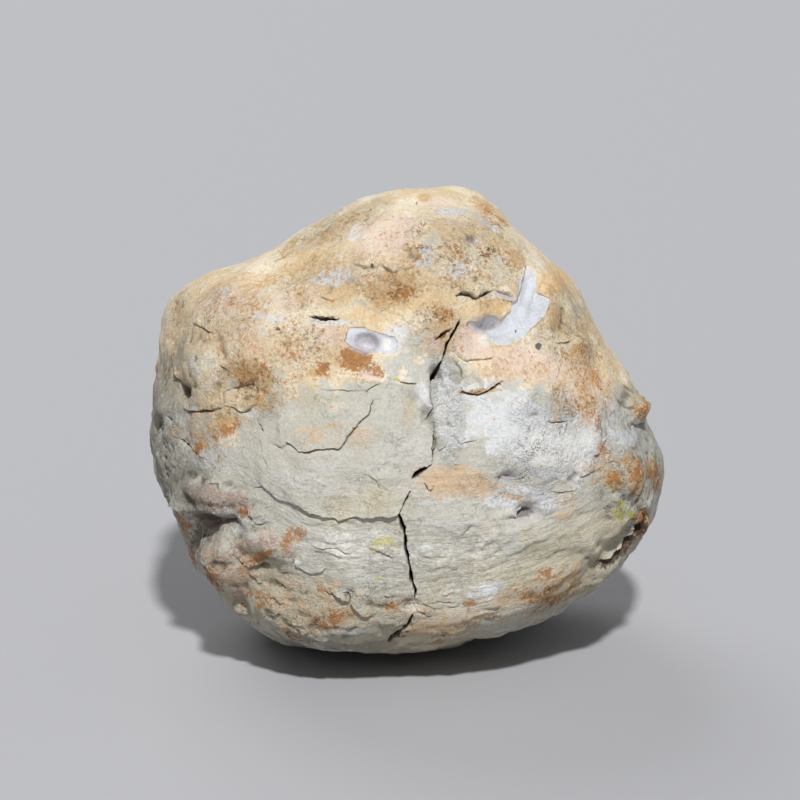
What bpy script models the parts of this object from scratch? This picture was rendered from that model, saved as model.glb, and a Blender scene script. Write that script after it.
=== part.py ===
"""A whole natural geode: one stone with a chalky, flaking rind, cracked down its front, on a small flat spot.

Run it with: blender --background --python part.py

Metres, +Z up. The stone's front faces -Y. The origin is on the plane that the stone stands on, under the
middle of the stone's box.

Places on the stone are read off a front view of 800 by 800 pixels, taken LOOK_DOWN above level, as
(across, down). The stone is modelled in that view's own frame: X across, Y into the picture and Z up it,
with the origin at the stone's middle. A place on the far side is given as if the front view saw through.
"""

import math
from functools import cache
from typing import NamedTuple

import bmesh
import bpy
import numpy as np
from mathutils import Matrix, Vector, noise

# The stone's sizes, in metres
STONE_WIDTH = 0.204
FRONT_BULGE = 0.082
BACK_BULGE = 0.084
FLAT_SPOT_CUT = 0.0028
CRACK_DEPTH = 0.009

# How square the stone's sections are from front to back, where 2 is an ellipse
BLOCKINESS = 2.35
LOW_FRONT_BLOCKINESS = 2.5

# How many degrees of the outline its corners are rounded over, at the rim and away from it
RIM_ROUNDING = 6
FACE_ROUNDING = 60

# The front view
LOOK_DOWN = math.radians(15)
EYE_DISTANCE = 1.3
OUTLINE_PIXELS = 512
PIXEL = STONE_WIDTH / OUTLINE_PIXELS
MIDDLE = (408, 425)
VIEW_CENTRE = (400, 400)

# The surface mesh: a ball, cut finer near ledges, cracks and pits, and along the lip and the foot of a ledge
BALL_SUBDIVISIONS = 5
FEATURE_BAND = 9  # pixels from a ledge or a crack
SMALL_LUMP = 21  # pixels: a lump or hollow of this half size or less is cut finer once
TINY_LUMP = 15  # and one of this half size or less twice
LEDGE_FACE = 3.0  # pixels from the foot of a ledge to its lip
SNAP = 1.2  # pixels: corners of the mesh this close to a lip or a foot are moved onto it

# The stone's outline in the front view, clockwise from the left shoulder
OUTLINE = [
    (163, 318), (167, 300), (176, 291), (190, 284), (203, 276), (220, 270), (245, 264), (264, 259),
    (280, 246), (297, 232), (315, 224), (340, 212), (360, 202), (382, 198), (400, 192), (430, 189),
    (458, 187), (474, 192), (490, 204), (506, 221), (522, 241), (548, 262), (566, 275), (584, 297),
    (591, 318), (600, 341), (618, 360), (630, 379), (638, 398), (645, 420), (654, 440), (662, 458),
    (661, 478), (655, 500), (650, 520), (640, 537), (626, 551), (608, 575), (592, 593), (560, 609),
    (530, 621), (505, 630), (475, 633), (445, 646), (415, 649), (385, 645), (350, 645), (320, 648),
    (285, 642), (255, 627), (240, 612), (226, 600), (214, 580), (200, 569), (189, 550), (183, 522),
    (168, 494), (158, 468), (150, 436), (153, 410), (156, 385), (161, 360),
]


class Lump(NamedTuple):
    """A rounded rise, or a hollow where rise is negative. Places and half sizes are in pixels."""

    across: float
    down: float
    wide: float
    high: float
    tilt: float  # degrees, anticlockwise in the view
    rise: float  # metres
    far: bool = False


class Ledge(NamedTuple):
    """A step in the rind. It stands up on the left hand of its line and slopes back over fade pixels."""

    line: list
    rise: float  # metres
    fade: float  # pixels


class Crack(NamedTuple):
    """An open crack along a line, of this width in pixels."""

    line: list
    width: float


LUMPS = {
    "left_lobe": Lump(245, 325, 100, 66, -12, 0.0050),
    "rough_lobe": Lump(204, 372, 40, 42, 0, 0.0045),
    "left_flank": Lump(160, 440, 28, 70, 0, 0.0020),
    "top_shoulder": Lump(430, 245, 130, 60, 8, 0.0040),
    "right_shoulder": Lump(555, 300, 60, 60, 40, 0.0030),
    "shoulder_knob": Lump(582, 350, 34, 26, 0, 0.0030),
    "upper_plate": Lump(325, 450, 120, 60, 0, 0.0020),
    "low_front": Lump(340, 622, 150, 46, 0, 0.0055),
    "low_right": Lump(500, 606, 110, 46, 14, 0.0045),
    "right_lump": Lump(628, 468, 46, 46, 20, 0.0050),
    "side_knob": Lump(637, 408, 21, 21, 0, 0.0060),
    "under_strip": Lump(612, 572, 46, 18, 40, 0.0020),
    "left_roll": Lump(215, 500, 60, 26, -14, 0.0025),
    "lower_left_lobe": Lump(228, 562, 34, 44, 24, 0.0070),
    "inner_lobe": Lump(270, 545, 44, 24, -12, 0.0030),
    "lower_left_foot": Lump(275, 606, 48, 24, -18, 0.0025),
    "foot_knob": Lump(240, 609, 15, 15, 0, 0.0030),
    "left_crease": Lump(205, 532, 50, 15, -8, -0.0050),
    "right_groove": Lump(624, 541, 50, 17, 43, -0.0065),
    "side_hollow": Lump(520, 495, 75, 36, 0, -0.0030),
    "side_pit": Lump(529, 514, 19, 12, 0, -0.0035),
    "oval_pocket": Lump(366, 342, 18, 11, -10, -0.0040),
    "bent_pocket_top": Lump(531, 296, 16, 30, -12, -0.0035),
    "bent_pocket_foot": Lump(494, 325, 26, 15, 0, -0.0050),
    "valley": Lump(300, 330, 26, 60, 25, -0.0020),
    "broken_band": Lump(448, 375, 24, 42, -12, -0.0020),
    "back_swell": Lump(320, 330, 90, 70, 20, 0.0060, far=True),
    "back_shoulder": Lump(530, 370, 60, 80, 10, 0.0050, far=True),
    "back_hollow": Lump(430, 430, 50, 80, 30, -0.0060, far=True),
    "back_foot": Lump(340, 550, 110, 50, -10, 0.0050, far=True),
    "back_dent": Lump(235, 440, 46, 34, 0, -0.0050, far=True),
    "back_knob": Lump(565, 510, 44, 30, 25, 0.0050, far=True),
    "back_brow": Lump(440, 265, 60, 30, -8, 0.0040, far=True),
    "back_pit": Lump(480, 520, 30, 22, 0, -0.0035, far=True),
}

LEDGES = {
    "plate_foot": Ledge([(258, 486), (272, 490), (291, 500), (306, 506), (325, 513), (341, 518), (375, 514),
                         (397, 512), (405, 502), (412, 489)], 0.0022, 70),
    "plate_side": Ledge([(413, 476), (430, 463), (433, 440), (431, 412), (428, 392), (430, 375)], 0.0014, 50),
    "upper_plate_foot": Ledge([(268, 440), (282, 447), (288, 440), (300, 451), (318, 448), (340, 447),
                               (352, 430), (360, 421), (370, 412), (374, 398)], 0.0010, 40),
    "rough_lobe_foot": Ledge([(178, 404), (200, 411), (213, 408), (230, 397), (246, 411), (264, 402)],
                             0.0025, 34),
    "left_groove": Ledge([(184, 408), (179, 392), (174, 375), (173, 350), (177, 325), (181, 305), (190, 286)],
                         -0.0030, 22),
    "left_roll_foot": Ledge([(166, 492), (185, 505), (205, 516), (225, 523), (240, 527), (252, 522)],
                            0.0035, 30),
    "broken_band_step": Ledge([(458, 391), (475, 393), (490, 387), (504, 380)], 0.0018, 30),
    "pink_foot": Ledge([(453, 350), (462, 359), (480, 360), (498, 356)], 0.0014, 30),
    "lower_scale": Ledge([(294, 558), (303, 568), (320, 571), (330, 565)], 0.0012, 24),
    "low_scale": Ledge([(320, 586), (340, 592), (352, 597), (362, 610), (378, 619)], 0.0016, 30),
    "right_lip": Ledge([(592, 562), (600, 552), (615, 536), (630, 521), (641, 508)], 0.0030, 40),
    "slit_roof": Ledge([(452, 296), (462, 291), (476, 297), (494, 293), (520, 301)], 0.0016, 30),
}

CRACKS = {
    "front": Crack([(388, 643), (402, 631), (414, 613), (412, 601), (414, 589), (411, 570), (407, 552),
                    (402, 530), (398, 512)], 3.6),
    "plate_corner": Crack([(398, 514), (404, 504), (410, 492)], 2.4),
    "plate_slot": Crack([(411, 480), (418, 474), (430, 465)], 4.5),
    "upper_slot": Crack([(431, 382), (436, 368), (443, 357)], 4.0),
    "top": Crack([(443, 358), (450, 342), (455, 330), (460, 318)], 3.0),
    "roof_slit": Crack([(454, 295), (462, 292), (476, 297), (490, 291)], 3.0),
    "left_slit": Crack([(309, 316), (320, 318), (338, 319)], 3.2),
}


def tilted(across, up, tilt):
    """Offsets in the view, turned so that the first runs along an axis tilted this many degrees."""
    turn = math.radians(tilt)
    along = across * math.cos(turn) + up * math.sin(turn)
    aside = up * math.cos(turn) - across * math.sin(turn)
    return along, aside


def smooth_step(value, low, high):
    share = np.clip((value - low) / (high - low), 0, 1)
    return share * share * (3 - 2 * share)


def outline_radius(angles, rounding):
    """How far the outline is from the stone's middle at these angles, rounded over this many degrees."""
    across, down = (np.array(OUTLINE, float) - MIDDLE).T
    corner_angles = np.arctan2(-down, across) % math.tau
    order = np.argsort(corner_angles)
    corner_radii = np.hypot(across, down)[order]
    steps = np.arange(0, math.tau, math.radians(0.5))
    radii = np.interp(steps, corner_angles[order], corner_radii, period=math.tau)
    weights = np.hanning(2 * rounding + 1)
    wrapped = np.concatenate((radii[-rounding:], radii, radii[:rounding]))
    radii = np.convolve(wrapped, weights / weights.sum(), "valid")
    return np.interp(angles % math.tau, steps, radii, period=math.tau) * PIXEL


def body_points(directions):
    """The plain body in each direction: its outline, bulged and smoothed to the front and the back."""
    x, y, z = directions.T
    angles = np.arctan2(z, x)
    rim = outline_radius(angles, RIM_ROUNDING)
    rim += (outline_radius(angles, FACE_ROUNDING) - rim) * smooth_step(np.abs(y), 0.02, 0.5)
    bulge = np.where(y < 0, FRONT_BULGE, BACK_BULGE)
    low_front = smooth_step(-z, 0.0, 0.5) * smooth_step(-y, 0.0, 0.3)
    power = BLOCKINESS + (LOW_FRONT_BLOCKINESS - BLOCKINESS) * low_front
    shares = (np.hypot(x, z) / rim) ** power + (np.abs(y) / bulge) ** power
    return directions * (shares ** (-1 / power))[:, None]


def seen(points):
    """Where the front view shows points of its frame, in pixels: one row of (across, down) for each."""
    eye_across = (VIEW_CENTRE[0] - MIDDLE[0]) * PIXEL
    eye_up = (MIDDLE[1] - VIEW_CENTRE[1]) * PIXEL
    shrink = EYE_DISTANCE / (EYE_DISTANCE + points[:, 1])
    across = eye_across + (points[:, 0] - eye_across) * shrink
    up = eye_up + (points[:, 2] - eye_up) * shrink
    return np.column_stack((MIDDLE[0] + across / PIXEL, MIDDLE[1] - up / PIXEL))


@cache
def point_at(surface, across, down, far=False):
    """The point that the front view shows at this place of a surface, or the one behind it."""
    point = np.array([[0, 1 if far else -1, 0]]) * FRONT_BULGE
    for _ in range(12):
        missed = np.array([[across, down]]) - seen(point)
        point[0, 0] += missed[0, 0] * PIXEL * 0.8
        point[0, 2] -= missed[0, 1] * PIXEL * 0.8
        point = surface(point / np.linalg.norm(point))
    return point[0]


def lumpy_points(directions):
    """The body with its lumps and hollows, and some unevenness."""
    plain = body_points(directions)
    unevenness = 0.0018 + 0.0022 * smooth_step(plain[:, 1], 0, 0.03)
    total = unevenness * rough(plain, 0.045)
    for lump in LUMPS.values():
        away = plain - point_at(body_points, lump.across, lump.down, lump.far)
        along, aside = tilted(away[:, 0], away[:, 2], lump.tilt)
        wide, high = lump.wide * PIXEL, lump.high * PIXEL
        deep = (wide + high) / 2
        share = (along / wide) ** 2 + (aside / high) ** 2 + (away[:, 1] / deep) ** 2
        total += lump.rise * np.clip(1 - share, 0, None) ** 2
    return plain + directions * total[:, None]


def rough(points, size, octaves=3):
    """Fractal noise at each point, about -1 to 1, whose coarsest waves have this size in metres."""
    return np.array([noise.fractal(Vector(point / size), 1.0, 2.1, octaves) for point in points])


def from_line(places, line):
    """How far places are on the left hand of a line, how far along it from 0 to 1, and the way to that hand."""
    corners = np.array(line, float)
    lengths = np.hypot(*np.diff(corners, axis=0).T)
    reached = np.concatenate(([0], np.cumsum(lengths)))
    steps = np.linspace(0, reached[-1], max(8, int(reached[-1] / 2)))
    samples = np.column_stack([np.interp(steps, reached, corner) for corner in corners.T])
    headings = np.gradient(samples, axis=0)
    left_hands = np.column_stack((headings[:, 1], -headings[:, 0]))
    left_hands /= np.hypot(*left_hands.T)[:, None]
    away = places[:, None, :] - samples[None, :, :]
    nearest = np.argmin((away**2).sum(2), axis=1)
    away = away[np.arange(len(places)), nearest]
    side = np.sign((away * left_hands[nearest]).sum(1))
    return side * np.hypot(*away.T), nearest / (len(steps) - 1), left_hands[nearest]


def ledge_rise(points):
    """The summed rise of all ledges at points of the near side."""
    places = seen(points)
    total = np.zeros(len(points))
    for ledge in LEDGES.values():
        distance, along, _ = from_line(places, ledge.line)
        ends = smooth_step(along, 0, 0.2) * smooth_step(1 - along, 0, 0.2)
        slope_back = np.clip(1 - distance / ledge.fade, 0, 1)
        total += ledge.rise * ends * slope_back * smooth_step(distance, -LEDGE_FACE, 0)
    return total * smooth_step(-points[:, 1], -0.01, 0.01)


def stone_points(directions):
    """The stone's surface in each direction from its middle."""
    points = lumpy_points(directions)
    return points + directions * ledge_rise(points)[:, None]


def directions_of(ball):
    return np.array([vertex.co for vertex in ball.verts])


def beside_lines(places):
    """Which places of the view are next to a ledge or a crack."""
    lines = [feature.line for feature in [*LEDGES.values(), *CRACKS.values()]]
    return np.any([np.abs(from_line(places, line)[0]) < FEATURE_BAND for line in lines], axis=0)


def on_lumps(places, largest):
    """Which places of the view are on a lump or hollow with a half size of this many pixels or less."""
    found = np.zeros(len(places), bool)
    for lump in LUMPS.values():
        if not lump.far and min(lump.wide, lump.high) <= largest:
            along, aside = tilted(places[:, 0] - lump.across, lump.down - places[:, 1], lump.tilt)
            found |= np.hypot(along / lump.wide, aside / lump.high) < 1.1
    return found


def split_edges(ball, shares):
    """Splits each of these edges at its share of the way from its first corner, and keeps the ball round."""
    bmesh.ops.subdivide_edges(ball, edges=list(shares), edge_percents=shares, cuts=1, use_grid_fill=True)
    bmesh.ops.triangulate(ball, faces=ball.faces[:])
    for vertex in ball.verts:
        vertex.co.normalize()
    ball.verts.index_update()
    ball.verts.ensure_lookup_table()


def cut_finer(ball, is_fine):
    """Halves the ball's edges on the near side, wherever both ends are at a place that is_fine."""
    points = lumpy_points(directions_of(ball))
    fine = is_fine(seen(points)) & (points[:, 1] < 0.01)
    split_edges(ball, {edge: 0.5 for edge in ball.edges if all(fine[corner.index] for corner in edge.verts)})


def cut_along(ball, line, offset):
    """Gives the ball a clean row of edges that runs this many pixels on the left hand of a line."""
    points = lumpy_points(directions_of(ball))
    distance, along, left_hand = from_line(seen(points), line)
    distance = distance - offset
    beside = (along > 0.02) & (along < 0.98) & (points[:, 1] < 0) & (np.abs(distance) < 3 * FEATURE_BAND)
    for index in np.flatnonzero(beside & (np.abs(distance) < SNAP)):
        shift = -distance[index] * PIXEL * left_hand[index]
        ball.verts[index].co = Vector(points[index] + (shift[0], 0, -shift[1])).normalized()
        distance[index] = 0
    shares = {}
    for edge in ball.edges:
        first, second = (corner.index for corner in edge.verts)
        if beside[first] and beside[second] and distance[first] * distance[second] < 0:
            shares[edge] = distance[first] / (distance[first] - distance[second])
    split_edges(ball, shares)


def collection(name):
    made = bpy.data.collections.new(name)
    bpy.context.scene.collection.children.link(made)
    return made


def add_object(name, mesh, home):
    made = bpy.data.objects.new(name, mesh)
    home.objects.link(made)
    return made


def stone_object(home):
    """The stone's surface, standing in the world with the plane of its flat spot at z = 0."""
    ball = bmesh.new()
    bmesh.ops.create_icosphere(ball, subdivisions=BALL_SUBDIVISIONS, radius=1)
    cut_finer(ball, lambda places: beside_lines(places) | on_lumps(places, SMALL_LUMP))
    cut_finer(ball, lambda places: on_lumps(places, TINY_LUMP))
    for ledge in LEDGES.values():
        cut_along(ball, ledge.line, 0)
        cut_along(ball, ledge.line, -LEDGE_FACE)
    for vertex, place in zip(ball.verts, stone_points(directions_of(ball))):
        vertex.co = place
    mesh = bpy.data.meshes.new("geode")
    ball.to_mesh(mesh)
    ball.free()
    stone = add_object("geode", mesh, home)
    upright = Matrix.Rotation(-LOOK_DOWN, 3, "X")
    corners = np.array([upright @ vertex.co for vertex in mesh.vertices])
    low, high = corners.min(axis=0), corners.max(axis=0)
    stone.rotation_euler.x = -LOOK_DOWN
    stone.location = (-(low[0] + high[0]) / 2, -(low[1] + high[1]) / 2, -low[2] - FLAT_SPOT_CUT)
    return stone


def crack_cutter(name, crack, home):
    """A wedge along a crack, open above the rind, narrowing to its floor and to both ends."""
    middles = [Vector(point_at(stone_points, *place)) for place in crack.line]
    last = len(middles) - 1
    wedge = bmesh.new()
    rings = []
    for index, middle in enumerate(middles):
        outward = middle.normalized()
        along = middles[min(index + 1, last)] - middles[max(index - 1, 0)]
        aside = along.cross(outward).normalized()
        end = 0.35 if index in (0, last) else 1.0
        half = crack.width * PIXEL / 2 * end
        corners = (
            middle + outward * 0.004 + aside * half * 1.3,
            middle + outward * 0.004 - aside * half * 1.3,
            middle - outward * CRACK_DEPTH * end - aside * half * 0.3,
            middle - outward * CRACK_DEPTH * end + aside * half * 0.3,
        )
        rings.append([wedge.verts.new(corner) for corner in corners])
    for first, second in zip(rings, rings[1:]):
        for side in range(4):
            following = (side + 1) % 4
            wedge.faces.new((first[side], first[following], second[following], second[side]))
    wedge.faces.new(rings[0])
    wedge.faces.new(rings[-1])
    bmesh.ops.recalc_face_normals(wedge, faces=wedge.faces)
    bmesh.ops.triangulate(wedge, faces=wedge.faces[:])
    mesh = bpy.data.meshes.new(name)
    wedge.to_mesh(mesh)
    wedge.free()
    return add_object(name, mesh, home)


def floor_cutter(home):
    """A block under the plane that the stone stands on."""
    block = bmesh.new()
    bmesh.ops.create_cube(block, size=2 * STONE_WIDTH)
    bmesh.ops.translate(block, verts=block.verts, vec=(0, 0, -STONE_WIDTH))
    mesh = bpy.data.meshes.new("floor_block")
    block.to_mesh(mesh)
    block.free()
    return add_object("floor_block", mesh, home)


def cut(stone, cutter):
    cutter.hide_render = True
    cutter.display_type = "WIRE"
    modifier = stone.modifiers.new(cutter.name, "BOOLEAN")
    modifier.operation = "DIFFERENCE"
    modifier.solver = "EXACT"
    modifier.object = cutter


def rind_material():
    rind = bpy.data.materials.new("rind")
    rind.use_nodes = True
    shader = rind.node_tree.nodes["Principled BSDF"]
    shader.inputs["Base Color"].default_value = (0.56, 0.50, 0.40, 1)
    shader.inputs["Roughness"].default_value = 0.9
    return rind


def main():
    for old in list(bpy.data.objects):
        bpy.data.objects.remove(old)
    stone = stone_object(collection("geode"))
    stone.data.materials.append(rind_material())
    cutters = collection("geode_cutters")
    for name, crack in CRACKS.items():
        wedge = crack_cutter(name + "_crack", crack, cutters)
        wedge.matrix_world = stone.matrix_basis
        cut(stone, wedge)
    cut(stone, floor_cutter(cutters))


if __name__ == "__main__":
    main()
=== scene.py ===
"""Looks of the geode: its rind modelled finely in place of the plain solid, its material and the stage.

The stone is modelled in the frame of a front view of 800 by 800 pixels, taken LOOK_DOWN above level: X
across, Y into the view and Z up it, with the origin at the stone's middle. A place in the view is (across,
down) in its pixels. A place on the far side is given as if the front view saw through.
"""

import math
from functools import cache
from typing import NamedTuple

import bmesh
import bpy
import numpy as np
from mathutils import Matrix, Vector, noise


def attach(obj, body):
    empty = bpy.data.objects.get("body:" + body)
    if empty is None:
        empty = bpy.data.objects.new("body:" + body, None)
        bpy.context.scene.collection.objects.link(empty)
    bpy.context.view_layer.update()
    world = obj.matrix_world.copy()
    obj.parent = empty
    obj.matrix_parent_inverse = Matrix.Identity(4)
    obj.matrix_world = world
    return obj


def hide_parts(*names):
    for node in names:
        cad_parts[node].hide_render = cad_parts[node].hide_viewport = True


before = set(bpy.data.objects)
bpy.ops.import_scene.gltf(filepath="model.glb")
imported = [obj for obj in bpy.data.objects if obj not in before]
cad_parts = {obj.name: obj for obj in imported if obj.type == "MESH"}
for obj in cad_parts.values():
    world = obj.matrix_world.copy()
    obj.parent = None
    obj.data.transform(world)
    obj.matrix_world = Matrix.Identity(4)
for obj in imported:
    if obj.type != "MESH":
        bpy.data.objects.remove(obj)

MM = 0.001

# The stone's sizes, in metres, as the solid has them
STONE_WIDTH = 0.204
FRONT_BULGE = 0.082
BACK_BULGE = 0.084
STONE_MIDDLE = Vector((0.0003, -0.0002, 0.0873))

# How square the stone's sections are from front to back, where 2 is an ellipse
BLOCKINESS = 2.35
LOW_FRONT_BLOCKINESS = 2.5

# How uneven the body is between its lumps, in millimetres, and how much more behind
UNEVENNESS = 1.8
UNSEEN_UNEVENNESS = 2.2
UNEVEN_WAVES = 0.045  # metres

# The waves that break up what is drawn with lines: their size on the ball, and their reach in pixels
WANDERING = ((0.13, 2.0), (0.045, 1.5), (0.018, 0.8))
WANDER_SEED = 7  # without one, Blender's vector noise starts from the time of day

# How many steps of the outline, to each side, its corners are rounded over, at the rim and away from it
RIM_ROUNDING = 6
FACE_ROUNDING = 60
OUTLINE_STEP = 0.5  # degrees

# The front view, and the turn from its frame to the stone as it stands
LOOK_DOWN = math.radians(15)
UPRIGHT = Matrix.Rotation(-LOOK_DOWN, 3, "X")
EYE_DISTANCE = 1.3
OUTLINE_PIXELS = 512
PIXEL = STONE_WIDTH / OUTLINE_PIXELS
MIDDLE = (408, 425)
VIEW_CENTRE = (400, 400)
VIEW_PIXELS = 800
SENSOR_WIDTH = 36  # millimetres

# The surface mesh, which is finest at the front and beside ledges, cracks and pockets
BALL_CUTS = 79
CROWDING = 0.66  # how much shorter the ball's edges are at the front
FINE_BAND = 4.5  # pixels from a ledge or a crack
SNAP = 0.35  # pixels: corners of the mesh this close to a row are moved onto it
SAME_DIRECTION = 1e-5
CORNER_TIE = 1e-3  # settles which of two segments a place beside their shared corner is nearest to

# The face of a ledge, and the hollow under it
LEDGE_FACE = 1.2  # pixels from the foot of a ledge to its lip
UNDERCUT_BAND = 4.0  # pixels
UNDERCUT = 0.6  # of the ledge's rise
OVERHANG = 1.6  # pixels, for a ledge of FULL_LEDGE or more
FULL_LEDGE = 2  # millimetres
LEDGE_ENDS = 0.2  # of its length, over which it rises
LEDGE_WAVES = 0.012  # metres

# Cracks deeper than this are painted dark inside, as shade with a little dirt, and the rest only a little
DARK_CRACK = 3.5  # millimetres
SHALLOW_CRACK_SHADE = 0.13

# The rind's low relief: each kind's height in millimetres, and the size of its waves in metres
GRAIN = (0.8, 0.014)
FINE_GRAIN = (0.4, 0.005)
CRUMBS = (1.5, 0.0085)
FINE_CRUMBS = (0.7, 0.0034)
SCALES = (0.8, 0.0062)
FINE_SCALES = (0.4, 0.0031)
UNSEEN_GRAIN = (1.4, 0.030)
UNSEEN_CRUMBS = (1.6, 0.024)
CRUMBS_SINK = 0.6  # millimetres by which a crumbly part lies deeper, to keep its mean height
UNSEEN_SINK = 0.8

# The layers of the rind come out along planes that slant up and into the view
BEDDING = Vector((0.0, -1.2, 1.0)).normalized()

# How far behind or in front of its place a patch, a small lump or a ledge reaches, in pixels
DEPTH_SLACK = 22

# The borders of the ochre skin and of the quartz, in pixels
SKIN_BORDER = 50
QUARTZ_BORDER = 8
SKIN_BREAKS = 14  # pixels by which noise shifts the border of the skin
UNSEEN_BREAKS = 110
WHOLE_VIEW = 700  # pixels

# A point this much lower than the mean of what is round it lies in a hollow, which is painted darker as
# shade with some dirt
HOLLOW_DEPTH = 1.2  # millimetres
HOLLOW_ROUNDS = 12  # rounds of smoothing that give that mean
SHARP_ANGLE = 55  # degrees

# The stone's outline in the front view, clockwise from the left shoulder
OUTLINE = [
    (163, 318), (167, 300), (176, 291), (190, 284), (203, 276), (220, 270), (245, 264), (264, 259),
    (280, 246), (297, 232), (315, 224), (340, 212), (360, 202), (382, 198), (400, 192), (430, 189),
    (458, 187), (474, 192), (490, 204), (506, 221), (522, 241), (548, 262), (566, 275), (584, 297),
    (591, 318), (600, 341), (618, 360), (630, 379), (638, 398), (645, 420), (654, 440), (662, 458),
    (661, 478), (655, 500), (650, 520), (640, 537), (626, 551), (608, 575), (592, 593), (560, 609),
    (530, 621), (505, 630), (475, 633), (445, 646), (415, 649), (385, 645), (350, 645), (320, 648),
    (285, 642), (255, 627), (240, 612), (226, 600), (214, 580), (200, 569), (189, 550), (183, 522),
    (168, 494), (158, 468), (150, 436), (153, 410), (156, 385), (161, 360),
]


class Lump(NamedTuple):
    """A rounded rise, or a hollow where rise is negative. Places and half sizes are in pixels."""

    across: float
    down: float
    wide: float
    high: float
    rise: float  # millimetres
    tilt: float = 0  # degrees, anticlockwise in the view
    far: bool = False


class Ledge(NamedTuple):
    """A step in the rind. It stands up on the left hand of its line and slopes back over fade pixels."""

    line: list
    rise: float  # millimetres
    fade: float  # pixels
    far: bool = False


class Crack(NamedTuple):
    """An open crack along a line. It narrows to both ends."""

    line: list
    width: float  # pixels
    depth: float  # millimetres
    far: bool = False


class Pocket(NamedTuple):
    """A sunk part of the rind inside a closed line that runs clockwise. Its upper left wall is steep."""

    line: list
    depth: float  # millimetres
    wall: float  # pixels, across the steep wall
    slope: float  # pixels, across the other walls
    far: bool = False


class Patch(NamedTuple):
    """An oval part of the surface with a colour or a roughness of its own, in pixels."""

    across: float
    down: float
    wide: float
    high: float
    share: float = 1  # how much of it is covered
    tilt: float = 0
    far: bool = False


def features(kind, near, far=()):
    """Features of one kind from the rows of their values, first those on the near side."""
    return [kind(*row) for row in near] + [kind(*row)._replace(far=True) for row in far]


# The lumps and hollows that the solid has too
LUMPS = features(Lump, [
    (245, 325, 100, 66, 5, -12),  # left lobe
    (204, 372, 40, 42, 4.5),  # rough lobe
    (160, 440, 28, 70, 2),  # left flank
    (430, 245, 130, 60, 4, 8),  # top shoulder
    (555, 300, 60, 60, 3, 40),  # right shoulder
    (582, 350, 34, 26, 3),  # shoulder knob
    (325, 450, 120, 60, 2),  # upper plate
    (340, 622, 150, 46, 5.5),  # low front
    (500, 606, 110, 46, 4.5, 14),  # low right
    (628, 468, 46, 46, 5, 20),  # right lump
    (637, 408, 21, 21, 6),  # side knob
    (612, 572, 46, 18, 2, 40),  # under strip
    (215, 500, 60, 26, 2.5, -14),  # left roll
    (228, 562, 34, 44, 7, 24),  # lower left lobe
    (270, 545, 44, 24, 3, -12),  # inner lobe
    (275, 606, 48, 24, 2.5, -18),  # lower left foot
    (240, 609, 15, 15, 3),  # foot knob
    (205, 532, 50, 15, -5, -8),  # left crease
    (624, 541, 50, 17, -6.5, 43),  # right groove
    (520, 495, 75, 36, -3),  # side hollow
    (529, 514, 19, 12, -3.5),  # side pit
    (366, 342, 18, 11, -4, -10),  # oval pocket
    (531, 296, 16, 30, -3.5, -12),  # bent pocket, top
    (494, 325, 26, 15, -5),  # bent pocket, foot
    (300, 330, 26, 60, -2, 25),  # valley
    (448, 375, 24, 42, -2, -12),  # broken band
], far=[
    (320, 330, 90, 70, 6, 20), (530, 370, 60, 80, 5, 10), (430, 430, 50, 80, -6, 30),
    (340, 550, 110, 50, 5, -10), (235, 440, 46, 34, -5), (565, 510, 44, 30, 5, 25),
    (440, 265, 60, 30, 4, -8), (480, 520, 30, 22, -3.5),
])

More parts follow.
